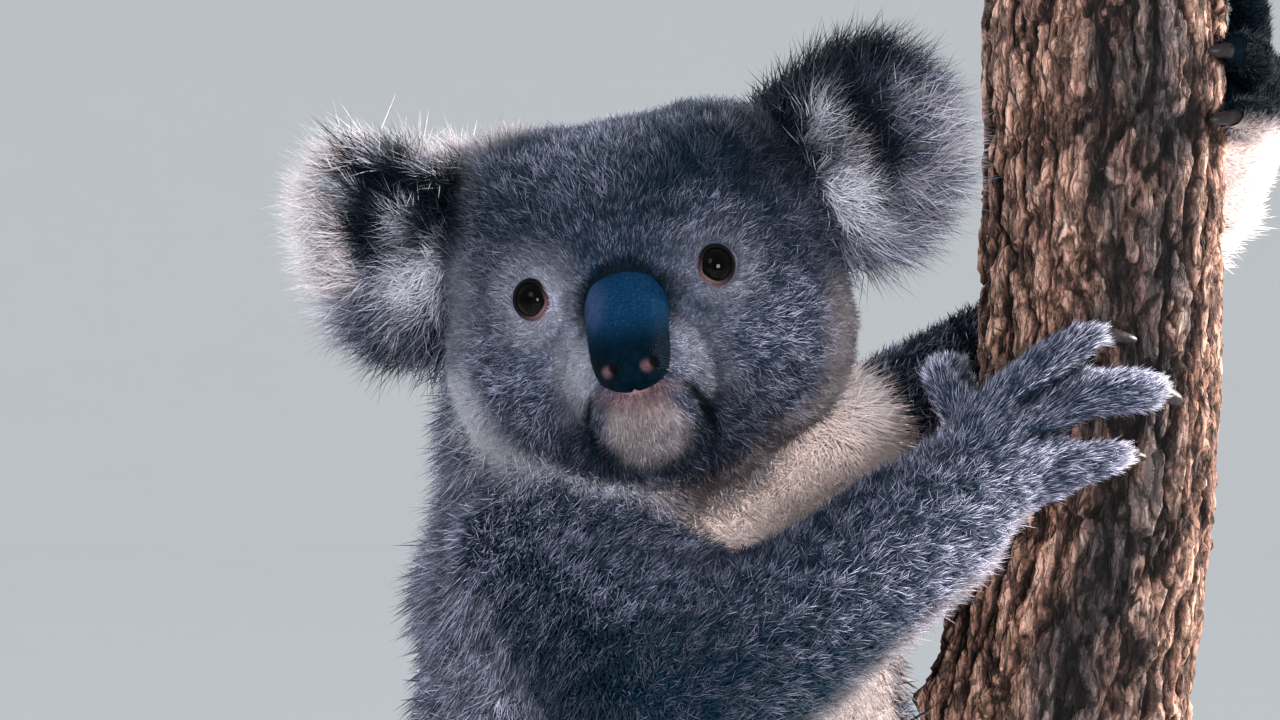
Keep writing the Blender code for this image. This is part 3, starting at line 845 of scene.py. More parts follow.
# the same on an ear, outward and up in its half sizes
earSpots = {
    "right": {
        "patches": ((0.85, (0.06, 0.20), (0.15, 0.15), 0.6), (1.0, (0.03, -0.36), (0.27, 0.32), 0.5)),
        "notch": ((0.12, -0.82), (0.28, 0.17), 0.6),
        "bare": ((0.02, -0.06), (0.08, 0.12), 0.5),
    },
    "left": {
        "patches": (
            (0.80, (-0.22, 0.38), (0.15, 0.26), 0.6), (1.0, (-0.06, -0.42), (0.26, 0.36), 0.5),
            (0.75, (0.02, 0.04), (0.13, 0.18), 0.6),
        ),
        "notch": ((0.10, -1.05), (0.40, 0.10), 0.6),
        "bare": ((0.08, 0.06), (0.13, 0.22), 0.5),
    },
}

# spots of the face that are lighter or darker: middle, half sizes and how much
lightSpots = (
    ((0.038, 0.0, 0.036), (0.030, 0.06, 0.022), -0.24),
    ((-0.044, 0.0, 0.044), (0.018, 0.06, 0.014), -0.18),
    ((-0.006, 0.0, 0.022), (0.016, 0.06, 0.020), -0.04),
    ((-0.045, 0.0, -0.024), (0.018, 0.06, 0.024), 0.50),
    ((0.042, 0.0, -0.040), (0.022, 0.06, 0.022), 0.30),
    ((0.028, 0.0, -0.052), (0.018, 0.06, 0.014), 0.04),
    ((-0.030, 0.0, -0.052), (0.012, 0.06, 0.014), -0.06),
)

# spots of the face that turn pale: round the eyes, beside the nose and at the mouth's corners
paleSpots = (
    ((-0.0285, 0.0, -0.0005), (0.0118, 0.04, 0.0128), 0.78),
    ((0.0285, 0.0, -0.0025), (0.0112, 0.04, 0.0125), 0.26),
    ((-0.0185, 0.0, -0.0225), (0.0070, 0.06, 0.0125), 1.0),
    ((0.0185, 0.0, -0.0225), (0.0075, 0.06, 0.0120), 0.24),
    ((-0.0170, 0.0, -0.0060), (0.0055, 0.06, 0.0080), 0.50),
    ((-0.0220, 0.0, -0.0360), (0.0060, 0.06, 0.0040), 0.45),
    ((0.0230, 0.0, -0.0350), (0.0060, 0.06, 0.0040), 0.25),
)

markNames = ("light", "pale", "cream", "dark", "pink", "blush", "lid")


def headSpot(local, name):
    return blob(local, *headSpots[name])


def bodySpot(points, name):
    return blob(points, *bodySpots[name])


def markings(points, normals, shares):
    # light is how pale the tips are, and pale, cream, dark and blush how far the fur turns to each.
    # pink is bare skin, and lid how dark the lids are, dark skin with painted shade at their rim
    marks = {name: np.zeros(len(points)) for name in markNames}

    def atLeast(name, values):
        marks[name] = np.maximum(marks[name], values)

    local = inHead(points)
    fine = ripple(points, 0.009, 4)
    wave = ripple(points, 0.03, 3)
    marks["light"] += lightOf(points, local, shares, wave, fine)
    markHead(marks, atLeast, points, local, shares)
    markBody(marks, atLeast, points, normals, shares, fine)
    for side in sides:
        markLimbs(atLeast, points, normals, shares, side)
        markEar(marks, atLeast, points, normals, shares, side, wave, fine)
        reach, share, clock = aroundEye(points, side)
        # bare lids, pink low at the inner corner and elsewhere dark: dark skin with painted shade under
        # the fur at the rim
        lid = step(eyeShape["bareShare"], 1.22, share) * step(0.016, 0.011, reach)
        low = 0.62 * bell(fromClock(clock, side, -50), 0.85)
        atLeast("pink", lid)
        atLeast("lid", lid * (1 - low))
        marks["pale"] = marks["pale"] * (1 - lid)

    # the far hand is almost black, its dark skin with painted shade over it, over white hair that hangs
    # from the wrist
    beyond = step(0.09, 0.11, points[:, 0])
    farHand = step(0.3, 0.7, shareOf(shares, "hand_left") + shareOf(shares, "forearm_left") * beyond)
    hanging = farHand * step(0.626, 0.612, points[:, 2]) * beyond
    marks["pale"] *= 1 - farHand
    marks["dark"] = np.maximum(marks["dark"], farHand) * (1 - hanging)
    marks["cream"] = np.maximum(marks["cream"] * (1 - farHand), hanging)
    return {name: np.clip(values, 0, 1) for name, values in marks.items()}


def lightOf(points, local, shares, wave, fine):
    light = shares @ perPart("light")
    light *= 1 + 0.22 * wave + 0.16 * fine
    # painted shade: the near arm is darker low down
    lowArm = shareOf(shares, "upper_arm_right", "forearm_right")
    light *= 1 - 0.76 * lowArm * step(0.485, 0.435, points[:, 2])
    light += 0.12 * shareOf(shares, "forearm_right") * step(-0.02, 0.02, points[:, 0])
    # painted shade: the far hand's tips are less pale
    light *= 1 - 0.45 * shareOf(shares, "hand_left")
    onHead = step(0.2, 0.8, shareOf(shares, "head"))
    _, ahead, high = local.T
    light *= 1 - 0.62 * onHead * step(0.042, 0.058, high) * step(-0.050, -0.020, ahead)
    face = onHead * step(-0.045, -0.012, ahead)
    for middle, radii, gain in lightSpots:
        light += gain * face * blob(local, middle, radii, 0.7)
    return light + 0.30 * (face * headSpot(local, "chin"))


def markHead(marks, atLeast, points, local, shares):
    across, ahead, high = local.T
    onHead = step(0.2, 0.8, shareOf(shares, "head"))
    face = onHead * step(-0.045, -0.012, ahead)
    broken = 0.84 + 0.16 * ripple(points, 0.005, 5)
    for middle, radii, gain in paleSpots:
        atLeast("pale", gain * broken * face * blob(local, middle, radii, 0.8))

    # a pale ring runs round the jaw on its right, and on its left it is cream at the very edge
    ring = np.hypot(across, high + 0.014)
    bottom = step(-0.038, -0.054, high)
    jaw = step(0.050 - 0.004 * bottom, 0.060 - 0.007 * bottom, ring)
    jaw = jaw * step(0.012, -0.010, across) * step(-0.008, -0.024, high)
    jawEdge = step(0.055 - 0.008 * bottom, 0.066 - 0.012 * bottom, ring)
    jawEdge = jawEdge * step(-0.020, 0.000, across) * step(0.000, -0.022, high)
    hinge = onHead * headSpot(local, "hinge")
    # the crest of the head, just out of sight from the front
    crest = onHead * step(-0.050, -0.064, ahead) * step(0.030, 0.044, high)
    atLeast("pale", jaw * onHead)
    atLeast("pale", onHead * 0.30 * headSpot(local, "besideEar"))
    atLeast("pale", 0.25 * crest)
    atLeast("cream", 0.40 * (face * headSpot(local, "chin")))
    atLeast("cream", 0.45 * jawEdge * onHead)
    atLeast("cream", 0.7 * hinge)
    underNose = face * headSpot(local, "underNose")
    atLeast("pink", underNose * 0.85 + 0.60 * face * headSpot(local, "mouth"))
    atLeast("blush", marks["pink"])

    # painted shade in the fold of the lips and at the corners of the mouth
    foldShade = lipGroove(local) * step(-0.030, -0.036, high)
    corner = step(0.0165, 0.0200, np.abs(across)) * step(-0.030, -0.036, high)
    corner = corner * step(-0.064, -0.054, high)
    noseRing = np.hypot(across / 0.0146, (high + 0.0140) / 0.0190)
    brow = step(0.026, 0.050, across) * step(0.014, 0.034, high)
    brow = brow + step(-0.034, -0.050, across) * step(0.026, 0.044, high)
    atLeast("dark", face * np.clip(1.1 * foldShade + 0.25 * corner, 0, 1))
    atLeast("dark", face * step(1.20, 1.04, noseRing) * step(-0.022, -0.004, high))
    atLeast("dark", 0.72 * np.clip(brow, 0, 1) * onHead * step(-0.075, -0.045, ahead))
    atLeast("dark", 0.85 * (onHead * headSpot(local, "earShade")) * (1 - hinge))


def markBody(marks, atLeast, points, normals, shares, fine):
    trunk = shareOf(shares, "neck", "torso")
    onTrunk = step(0.3, 0.8, trunk)
    upperChest = bodySpot(points, "upperChest")
    throat = step(-0.116, -0.092, points[:, 0]) * step(0.440, 0.470, points[:, 2])
    belly = step(0.20, 0.60, normals[:, 0] - 0.25 * np.abs(normals[:, 1]))
    atLeast("cream", onTrunk * np.clip(throat + belly, 0, 1) * (1 - 0.75 * upperChest))
    atLeast("pale", 0.85 * onTrunk * upperChest)
    atLeast("pale", 0.17 * step(0.4, 0.8, trunk) * step(-0.6, 0.4, fine))
    rump = bodySpot(points, "rump") * step(-0.3, 0.5, fine)
    atLeast("pale", 0.6 * rump * step(0.4, 0.8, trunk))
    # painted shade between the fingers of the near hand
    atLeast("dark", 0.9 * fingerCrease(points))


def markLimbs(atLeast, points, normals, shares, side):
    # creamy inner sides, and pale tips of the fingers and toes
    out = 1 if side == "left" else -1
    arm = shareOf(shares, "upper_arm_" + side, "forearm_" + side)
    inward = normals @ unit(np.array((0.45, -0.35 * out, -0.80)))
    atLeast("cream", 0.12 * arm * step(0.45, 0.85, inward))
    leg = shareOf(shares, "thigh_" + side, "shank_" + side)
    inward = normals @ unit(np.array((0.75, -0.35 * out, 0.10)))
    atLeast("cream", 0.5 * leg * step(0.35, 0.8, inward))
    under = step(0.35, -0.25, normals[:, 2])
    for part in ("hand", "foot"):
        claws = [boxMiddle(name) for name in nodes if name.startswith(f"claw_{part}_{side}")]
        near = np.min([np.linalg.norm(points - claw, axis=1) for claw in claws], axis=0)
        onPaw = step(0.3, 0.7, shareOf(shares, f"{part}_{side}"))
        # the pale tips are paler on their undersides: pale hair, with painted light there
        atLeast("pale", 0.60 * onPaw * step(0.016, 0.007, near) * (0.45 + 0.55 * under))


def markEar(marks, atLeast, points, normals, shares, side, wave, fine):
    spots = earSpots[side]
    onEar = step(0.25, 0.7, shareOf(shares, "ear_" + side))
    facing = step(-0.1, 0.35, normals @ ears[side]["turn"][2])
    # the place on the ear where the tuft shows, which is further out than its root
    root = inEar(points, side)[:, :2] / ears[side]["half"][:2]
    flat = root + 0.22 * unit(root - np.array((skinShape["earHinge"] - 1, -0.12)))
    u, v = flat.T
    rim = step(0.62, 0.85, np.hypot(u + 0.25, v)) * step(-0.65, -0.35, u + 0.3 * np.abs(v))
    if side == "right":
        outer = step(0.42, 0.54, u + 0.08 * fine) * step(-0.62, -0.30, v)
        top = step(0.70, 0.82, v + 0.08 * fine + 0.14 * step(-0.10, -0.50, u))
        behind = (1 - facing) * step(0.15, 0.45, v)
        low = 0.42 * step(0.45, 0.70, u) * step(-0.30, -0.55, v)
        fringe = np.max((outer, top, behind, low), axis=0)
        atLeast("cream", 0.75 * onEar * fringe * step(0.75, 0.45, np.abs(fine)))
        marks["light"] = marks["light"] + 0.50 * onEar * step(-0.30, -0.55, v)
        core = step(0.56, 0.44, u) * step(-0.14, 0.0, v)
    else:
        ends = np.maximum(step(0.75, 0.35, v), 0.6 * step(0.78, 0.95, v))
        fringe = 0.45 * rim * ends * step(-0.3, 0.3, fine + 0.5 * wave)
        atLeast("cream", 0.30 * onEar * fringe)
        marks["light"] = marks["light"] + 0.50 * onEar * rim * step(0.80, 0.30, v)
        marks["light"] = marks["light"] + 0.30 * onEar * step(-0.50, -0.70, v)
        core = (1 - 0.90 * rim * step(0.90, 0.30, v)) * step(-0.85, -0.58, v + 0.3 * u)
    patch = np.max([gain * blob(flat, *spot) for gain, *spot in spots["patches"]], axis=0)
    notch, bare = blob(flat, *spots["notch"]), blob(flat, *spots["bare"])
    atLeast("pale", onEar * np.maximum(fringe, facing * patch))
    atLeast("dark", onEar * np.maximum(core, 0.8 * notch) * (1 - fringe) * (1 - facing * patch))
    junction = blob(flat, (-0.56, 0.26), (0.34, 0.36), 0.9) * step(-0.9, -0.3, normals @ aheadOfHead)
    atLeast("dark", 0.92 * junction * (1 - marks["pale"]))
    atLeast("pink", onEar * facing * bare * 0.6)
    atLeast("blush", onEar * facing * bare * 0.35)


def alongSkin(flow, normals):
    return unit(flow - normals * (flow * normals).sum(1, keepdims=True))


def coatFlow(points, normals, shares, edges):
    # the way the tips of the coat lie at each point of the skin
    local = inHead(points)
    ways = np.zeros((len(points), len(fleshNames), 3))
    down = np.array((0.0, 0.0, -1.0))
    fromNose = unit(points - outOfHead((0.0, 0.026, -0.020)))
    backHead = step(-0.050, -0.095, local[:, 1])[:, None]
    ways[:, partOf["head"]] = fromNose * (1 - backHead) + down * backHead
    ways[:, partOf["neck"]] = down + np.array((0.15, 0.0, 0.0))
    ways[:, partOf["torso"]] = down + unit(points - middles["torso"]) * 0.15
    for side in sides:
        half = ears[side]["half"]
        radial = inEar(points, side) - np.array((-half[0] * 0.80, -half[1] * 0.10, 0.0))
        radial[:, 2] = 0
        ways[:, partOf["ear_" + side]] = unit(radial) @ ears[side]["turn"]
        for upper, lower, end in (armParts, legParts):
            first, second, third = (middles[f"{part}_{side}"] for part in (upper, lower, end))
            ways[:, partOf[f"{upper}_{side}"]] = unit(second - first) + down * 0.35
            ways[:, partOf[f"{lower}_{side}"]] = unit(third - second) + down * 0.15
            ways[:, partOf[f"{end}_{side}"]] = unit(points - (second * 0.35 + third * 0.65))
    flow = np.einsum("np,npk->nk", shares, ways)
    for _ in range(3):
        flow = spread(alongSkin(flow, normals), edges, 3)
    return alongSkin(flow, normals)


def skinTable(skin):
    # everything the coat needs to know at each point of the skin
    mesh = skin.data
    points, edges = pointsOf(mesh), edgesOf(mesh)
    normals = unit(spread(normalsOf(mesh), edges, 2))
    shares = partShares(points, edges, skinShape["blendRounds"])
    marks = markings(points, normals, shares)
    setAttributes(mesh, **marks)
    local = inHead(points)
    kinds = {
        "head": step(0.3, 0.8, shareOf(shares, "head")),
        "ear": shareOf(shares, *bothSides("ear")),
        "paw": shareOf(shares, *bothSides("hand", "foot")),
        "arm": shareOf(shares, *bothSides(*armParts)),
    }
    front = step(-0.050, -0.016, local[:, 1])
    ring = np.hypot(local[:, 0], local[:, 2] + 0.016)
    kinds["short"] = kinds["head"] * front * step(0.060, 0.018, ring)
    kinds["rim"] = np.zeros(len(points))
    for side in sides:
        u, v, _ = (inEar(points, side) / ears[side]["half"]).T
        rim = step(0.45, 0.75, np.hypot(u + 0.25, v)) * step(-0.55, -0.15, u + 0.55 * np.abs(v))
        kinds["rim"] = np.maximum(kinds["rim"], rim * shareOf(shares, "ear_" + side))
    grow = coatGrowth(points, normals, local, shares, marks, kinds)

    table = {"place": points, "normal": normals, "flow": coatFlow(points, normals, shares, edges)}
    for values in (grow, marks, kinds):
        table.update({name: row[:, None] for name, row in values.items()})
    return table


def coatGrowth(points, normals, local, shares, marks, kinds):
    # length, width, lift and density of the tufts at each point
    grow = {name: shares @ perPart(name) for name in ("length", "width", "lift", "density")}

    def pull(share, **targets):
        for name, target in targets.items():
            grow[name] += (target - grow[name]) * share

    def add(share, **amounts):
        for name, amount in amounts.items():
            grow[name] += amount * share

    onHead, onEar, short, rim = (kinds[name] for name in ("head", "ear", "short", "rim"))
    pull(short, **coat["face"])
    pull(np.clip(short * 1.15, 0, 1), width=coat["faceWidth"])
    pull(step(0.35, 0.85, short), density=coat["faceDensity"])
    add(onHead * step(-0.050, -0.016, local[:, 1]) * headSpot(local, "chinCoat"), length=0.0014)
    # the ruff under the jaw, and the back of the head
    add(onHead * step(-0.036, -0.056, local[:, 2]) * (1 - short), length=0.0030)
    back = step(-0.040, -0.075, local[:, 1]) * onHead
    add(back, width=0.0009, length=0.0020)
    grow["density"] *= 1 - 0.76 * back

    pull(rim, **coat["fringe"])
    add(rim, density=coat["fringeDensity"])
    for side in sides:
        behind = step(0.1, -0.4, normals @ ears[side]["turn"][2])
        behind = behind * shareOf(shares, "ear_" + side) * (1 - rim)
        grow["density"] *= 1 - 0.65 * behind
        grow["width"] *= 1 + 0.7 * behind

    # the shoulder and the chest close to the face carry a finer coat than the back and the belly
    onTrunk = shareOf(shares, "torso", "neck")
    fine = step(0.390, 0.430, points[:, 2]) * (1 - onEar)
    fine *= np.maximum(step(0.20, -0.25, normals[:, 1]), marks["cream"]) * onTrunk
    pull(fine, **coat["fine"])
    add(fine, lift=-8)
    add(fine * marks["cream"], lift=-12)
    # the chest hair stands out past the jaw, and so do the crest by the right ear and the nape
    add(bodySpot(points, "ruffle") * onTrunk, length=0.0120, lift=16)
    add(onHead * headSpot(local, "crestCoat"), length=0.0075, lift=18)
    add(bodySpot(points, "nape") * (1 - onHead) * (1 - onEar), length=0.0060, lift=14)
    farArm = shareOf(shares, *(part + "_left" for part in armParts))
    grow["density"] *= 1 - (1 - coat["farDensity"]) * farArm
    grow["width"] *= 1 + (coat["farWidth"] - 1) * farArm
    # hair that hangs from the arms
    add(shareOf(shares, "forearm_left") * step(0.1, -0.5, normals[:, 2]), length=0.0080)
    nearArm = shareOf(shares, "forearm_right", "upper_arm_right")
    add(nearArm * step(-0.5, -0.85, normals[:, 2]), length=0.0030)

    # nothing grows between the fingers, on the lids or under the nose pad
    grow["density"] *= 1 - fingerCrease(points)
    for side in sides:
        reach, share, _ = aroundEye(points, side)
        grow["density"][(reach < eyeShape["bareReach"]) & (share < eyeShape["bareShare"])] = 0.0
    nose = np.hypot(local[:, 0] / 0.0128, (local[:, 2] + 0.0148) / 0.0200)
    grow["density"][(nose < 1.0) & (local[:, 1] > -0.005)] = 0.0
    return grow


def sowRoots(skin, table):
    # roots spread evenly over each face by the density there
    mesh = skin.data
    mesh.calc_loop_triangles()
    corners = readRows(mesh.loop_triangles, "vertices", 3, np.int32)
    loops = readRows(mesh.loop_triangles, "loops", 3, np.int32)
    unwrap = readRows(mesh.uv_layers["OFBake"].uv, "vector", 2)
    first, second, third = (table["place"][corner] for corner in corners.T)
    area = np.linalg.norm(np.cross(second - first, third - first), axis=1) / 2
    wanted = table["density"][corners, 0].mean(1) * area * 1e4
    number = np.floor(wanted + dice.random(len(corners))).astype(int)
    chosen = np.repeat(np.arange(len(corners)), number)
    share = dice.random((len(chosen), 2))
    folded = share.sum(1) > 1
    share[folded] = 1 - share[folded]
    weights = columns(1 - share.sum(1), share[:, 0], share[:, 1])

    def between(values, places):
        return np.einsum("nk,nkd->nd", weights, values[places[chosen]])

    roots = {name: between(values, corners) for name, values in table.items()}
    roots["patch"] = between(unwrap, loops)
    roots["normal"] = unit(roots["normal"])
    return pick(roots, clearRoots(roots))


def pick(roots, kept):
    return {name: values[kept] for name, values in roots.items()}


def clearRoots(roots):
    # leaves out what would start in the perch or point into it, or sit in a claw
    place = roots["place"]
    aside, reach, radius = aroundPerch(place)
    clear = reach - radius
    away = (roots["normal"][:, :2] * unit(aside)).sum(1)
    rise = roots["length"][:, 0] * np.sin(np.radians(roots["lift"][:, 0]))
    free = (clear > coat["clearOfPerch"]) & ((clear > rise * 0.8) | (away > -0.35))
    claws = np.concatenate([pointsOf(nodes[name].data) for name in nodes if name.startswith("claw_")])
    tree = KDTree(len(claws))
    for index, spot in enumerate(claws):
        tree.insert(spot, index)
    tree.balance()
    for index in np.flatnonzero(free & (roots["paw"][:, 0] > 0.5)):
        free[index] = tree.find(place[index])[2] > coat["clearOfClaws"]
    return free


variety = {
    "lean": math.radians(30), "leanSizes": (0.011, 0.005),  # of the locks
    "turn": 28, "woollyTurn": 14,  # of single tufts, in degrees
    "curl": 0.55, "lockCurl": 0.35, "lockLength": 0.16, "liftSpread": 8, "liftRange": (6, 70),
    "length": (0.62, 1.18), "width": (0.75, 1.25),
    # size of a mottle, how strong it is, how much stronger where the coat is woolly, and its seed
    "mottles": ((0.0045, 0.10, 0.19, 25), (0.013, 0.06, 0.16, 26)),
}


def roughenRoots(roots):
    # locks that lean together, and each tuft's own turn, length and tone
    place = roots["place"]
    count = len(place)
    short, head, ear, paw, rim = (roots[name][:, 0] for name in ("short", "head", "ear", "paw", "rim"))
    woolly = (1 - short) * (1 - head * 0.5) * (1 - ear) * (1 - paw)
    straight = (1 - 0.6 * short) * (1 - 0.6 * paw)
    large, small = variety["leanSizes"]
    lock = ripple(place, large, 21) + 0.7 * ripple(place, small, 22)
    own = dice.normal(size=count)
    turn = variety["lean"] * lock + np.radians(variety["turn"] + variety["woollyTurn"] * woolly) * own
    curl = dice.normal(size=count) * variety["curl"] + variety["lockCurl"] * ripple(place, 0.007, 23)
    part = 1 + variety["lockLength"] * ripple(place, 0.006, 24)
    roots["turn"] = (turn * (straight * (1 - 0.55 * rim)))[:, None]
    roots["curl"] = (curl * straight)[:, None]
    roots["length"] = roots["length"] * (part * dice.uniform(*variety["length"], count))[:, None]
    roots["width"] = roots["width"] * dice.uniform(*variety["width"], (count, 1))
    lift = roots["lift"] + dice.normal(size=(count, 1)) * variety["liftSpread"]
    roots["lift"] = np.clip(lift, *variety["liftRange"])
    shade = np.zeros(count)
    for size, plain, more, seed in variety["mottles"]:
        shade += (plain + more * woolly) * ripple(place, size, seed)
    roots["tone"] = np.clip(dice.random(count) + shade, 0, 1)[:, None]
    return roots


def growCoat(name, roots, rings, material):
    # tufts of three sides that bend as they lie down, in pieces of a fair size
    count = len(roots["place"])
    perTuft = 6 * (rings - 1) + 4
    batches = max(1, math.ceil(count * perTuft / coat["piece"]))
    order = dice.permutation(count)
    for batch in range(batches):
        label = name if batches == 1 else f"{name}_{batch + 1}"
        growPiece(label, pick(roots, order[batch::batches]), rings, material)
    print(name, count, "tufts,", count * perTuft, "triangles in", batches, "pieces")


def tuftTemplate(rings):
    # the corners of one tuft's triangles, and their places on its patch of the unwrap
    tip = 3 * rings
    triangles, patch = [(0, 2, 1)], [((0.02, 0.0), (0.30, 0.0), (0.16, 0.05))]
    for ring in range(rings):
        low, high = (0.06 + 0.94 * share / rings for share in (ring, ring + 1))
        for corner in range(3):
            a, b = ring * 3 + corner, ring * 3 + (corner + 1) % 3
            left, right = corner / 3 + 0.01, (corner + 1) / 3 - 0.01
            if ring == rings - 1:
                triangles.append((a, b, tip))
                patch.append(((left, low), (right, low), ((left + right) / 2, high)))
            else:
                triangles += [(a, b, b + 3), (a, b + 3, a + 3)]
                patch.append(((left, low), (right, low), (right, high)))
                patch.append(((left, low), (right, high), (left, high)))
    return np.array(triangles, np.int64).ravel(), np.array(patch).reshape(-1, 2)


def growPiece(name, roots, rings, material):
    count, size = len(roots["place"]), 3 * rings + 1
    normal, turn, curl = roots["normal"], roots["turn"], roots["curl"]
    side = np.cross(normal, roots["flow"])
    flow = alongSkin(roots["flow"] * np.cos(turn) + side * np.sin(turn), normal)
    side = np.cross(normal, flow)
    lift = np.radians(roots["lift"])
    points = np.empty((count, size, 3))
    spot = roots["place"] - normal * coat["sunk"]
    for ring in range(rings):
        share = ring / rings
        rise = lift * (1.45 - 0.95 * share if rings > 1 else 0.95)
        swing = curl * share
        ahead = flow * np.cos(swing) + side * np.sin(swing)
        across = side * np.cos(swing) - flow * np.sin(swing)
        way = ahead * np.cos(rise) + normal * np.sin(rise)
        over = np.cross(way, across)
        radius = roots["width"] / 2 * (1.0 - 0.42 * share)
        for corner in range(3):
            angle = math.radians(90 + 120 * corner)
            offset = across * math.cos(angle) + over * (0.6 * math.sin(angle))
            points[:, ring * 3 + corner] = spot + offset * radius
        spot = spot + way * (roots["length"] / rings)
    points[:, -1] = spot

    template, patch = tuftTemplate(rings)
    corners = (template[None, :] + (np.arange(count) * size)[:, None]).ravel()
    piece = pieceFromArrays(name, points.reshape(-1, 3), corners, 3)
    mesh = piece.data
    unwrap = (patch - 0.5)[None] * coat["patch"] + roots["patch"][:, None]
    layer = mesh.uv_layers.new(name="OFBake")
    layer.uv.foreach_set("vector", unwrap.astype(np.float32).ravel())
    along = [ring / rings for ring in range(rings) for _ in range(3)] + [1.0]
    across = (0.5, 0.0, 1.0) * rings + (0.5,)
    setAttributes(mesh, along=np.tile(along, count), across=np.tile(across, count))
    marks = ("tone", "light", "pale", "cream", "dark", "blush")
    setAttributes(mesh, **{mark: np.repeat(roots[mark][:, 0], size) for mark in marks})
    mesh.materials.append(material)
    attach(piece, "root")


def buildCoat(skin, table, material):
    roots = roughenRoots(sowRoots(skin, table))
    ear = roots["ear"][:, 0] > 0.5
    short = (roots["short"][:, 0] > 0.55) & ~ear
    head = (roots["head"][:, 0] > 0.5) & ~ear & ~short
    arm = (roots["arm"][:, 0] > 0.5) & ~ear & ~head & ~short
    body = ~(ear | short | head | arm)
    for name, kept, rings, slotName in (
        ("coat_face", short, 1, "coat"),
        ("coat_head", head, 1, "coat"),
        ("coat_ears", ear, 2, "coat_pale"),
        ("coat_arms", arm, 1, "coat"),
        ("coat_body", body, 1, "coat"),
    ):
        growCoat(name, pick(roots, kept), rings, material)


furPaint = {
    "root": (0.0014, 0.0145, 0.029), "tip": (0.45, 0.47, 0.66),
    "paleRoot": (0.16, 0.17, 0.26), "paleTip": (0.90, 0.92, 1.0),
    "creamRoot": (0.84, 0.70, 0.66), "creamTip": (0.97, 0.87, 0.85),
    "darkRoot": (0.0008, 0.003, 0.006), "darkTip": (0.005, 0.016, 0.026),
    "bareSkin": (0.17, 0.105, 0.120), "lidSkinAndShade": (0.003, 0.003, 0.004), "roughness": 0.70,
    "leastLight": 0.09, "mostLight": 4.0,
}


def furColour(sheet, along, tone):
    # grey strands with dark roots and pale tips, turned pale, cream or dark by the markings
    bright = furPaint["leastLight"] + furPaint["mostLight"] * tone * tone * tone * tone
    gain = sheet.attribute("light") * bright
    tipped = ((along * along * 0.85 + along * 0.35) * gain).clamped()
    strand = sheet.mixColour(tipped, furPaint["root"], furPaint["tip"])
    turned = (
        ("pale", along * (0.50 + 0.65 * tone)),
        ("cream", along * (0.6 + 0.4 * tone)),
        ("dark", along * tone),
    )
    coats = []
    for name, share in turned:
        colour = sheet.mixColour(share, furPaint[name + "Root"], furPaint[name + "Tip"])
        coats.append((sheet.attribute(name), colour))
    return sheet.layers(strand, *coats)


def coatMaterial():
    # each tuft shows several hairs: streaks run from its root to its tip
    sheet = Sheet("koala_fur", roughness=furPaint["roughness"], specular_ior_level=0.05)
    along, tone = sheet.attribute("along"), sheet.attribute("tone")
    spot = {0: sheet.attribute("across") * 3.4 + tone * 71.0, 1: along * 0.7, 2: tone * 13.0}
    streak = sheet.noise(sheet.node("ShaderNodeCombineXYZ", {}, spot), 1.6, 2.0, 0.6).between(0.32, 0.68)
    colour = furColour(sheet, along, (tone * 0.74 + streak * 0.32).clamped())
    blush = sheet.mixColour(along, shaded(furPaint["bareSkin"], 0.6), furPaint["bareSkin"])
    colour = sheet.mixColour(sheet.attribute("blush") * 0.70, colour, blush)
    fleck = sheet.noise(sheet.place(), 700.0, 2.0).between(0.35, 0.7, 0.82, 1.10)
    return sheet.paint(base_color=sheet.dimmed(colour, fleck))


def skinMaterial():
    sheet = Sheet("koala_skin", roughness=0.75, specular_ior_level=0.03)
    strands = sheet.noise(sheet.place(1.0, 1.0, 0.45), 1100.0, 3.0, 0.65)
    tone = strands.between(0.30, 0.70)
    pores = sheet.noise(sheet.place(), 1500.0, 2.0).between(0.35, 0.7)
    bare = sheet.mixColour(pores, furPaint["bareSkin"], shaded(furPaint["bareSkin"], 0.72))
    # the lids: dark skin with painted shade
    bare = sheet.mixColour(sheet.attribute("lid"), bare, furPaint["lidSkinAndShade"])
    colour = sheet.mixColour(sheet.attribute("pink"), furColour(sheet, tone * 0.34, tone * 0.85), bare)
    return sheet.paint(base_color=colour, normal=sheet.bump(strands, 0.55, 0.0006))


eyePaint = {
    "pupil": (0.0005, 0.0005, 0.0005), "iris": (0.0009, 0.0011, 0.0011),
    # painted glow: the lower part of the iris is lighter, as reflected light
    "irisLowGlow": (0.0026, 0.0029, 0.0020), "white": (0.020, 0.012, 0.010),
    "irisAngle": math.radians(58), "bulge": 0.0005,
    "slit": (0.0019, 0.0042), "lowGlowReach": (0.0010, -0.0045),
}


def buildEye(side, material):
    middle, turn = eyeFrame(side)
    deselectAll()
    bpy.ops.mesh.primitive_uv_sphere_add(segments=48, ring_count=32, radius=eyeRadius)
    eye = bpy.context.object
    eye.name = "eyeball_" + side
    local = pointsOf(eye.data)
    out = np.arccos(np.clip(local[:, 2] / eyeRadius, -1, 1))
    cornea = eyePaint["bulge"] * step(0.75, 0.30, out)
    local *= (1 + cornea / eyeRadius)[:, None]
    wide, tall = eyePaint["slit"]
    setAttributes(
        eye.data,
        out=out / eyePaint["irisAngle"],
        slit=np.hypot(local[:, 0] / wide, local[:, 1] / tall),
        # where the painted glow on the lower iris falls
        low=step(*eyePaint["lowGlowReach"], local[:, 1]),
    )
    setPoints(eye.data, local @ turn + middle)
    eye.data.shade_smooth()
    eye.data.materials.append(material)
    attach(eye, "root")
    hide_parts("eye_" + side)


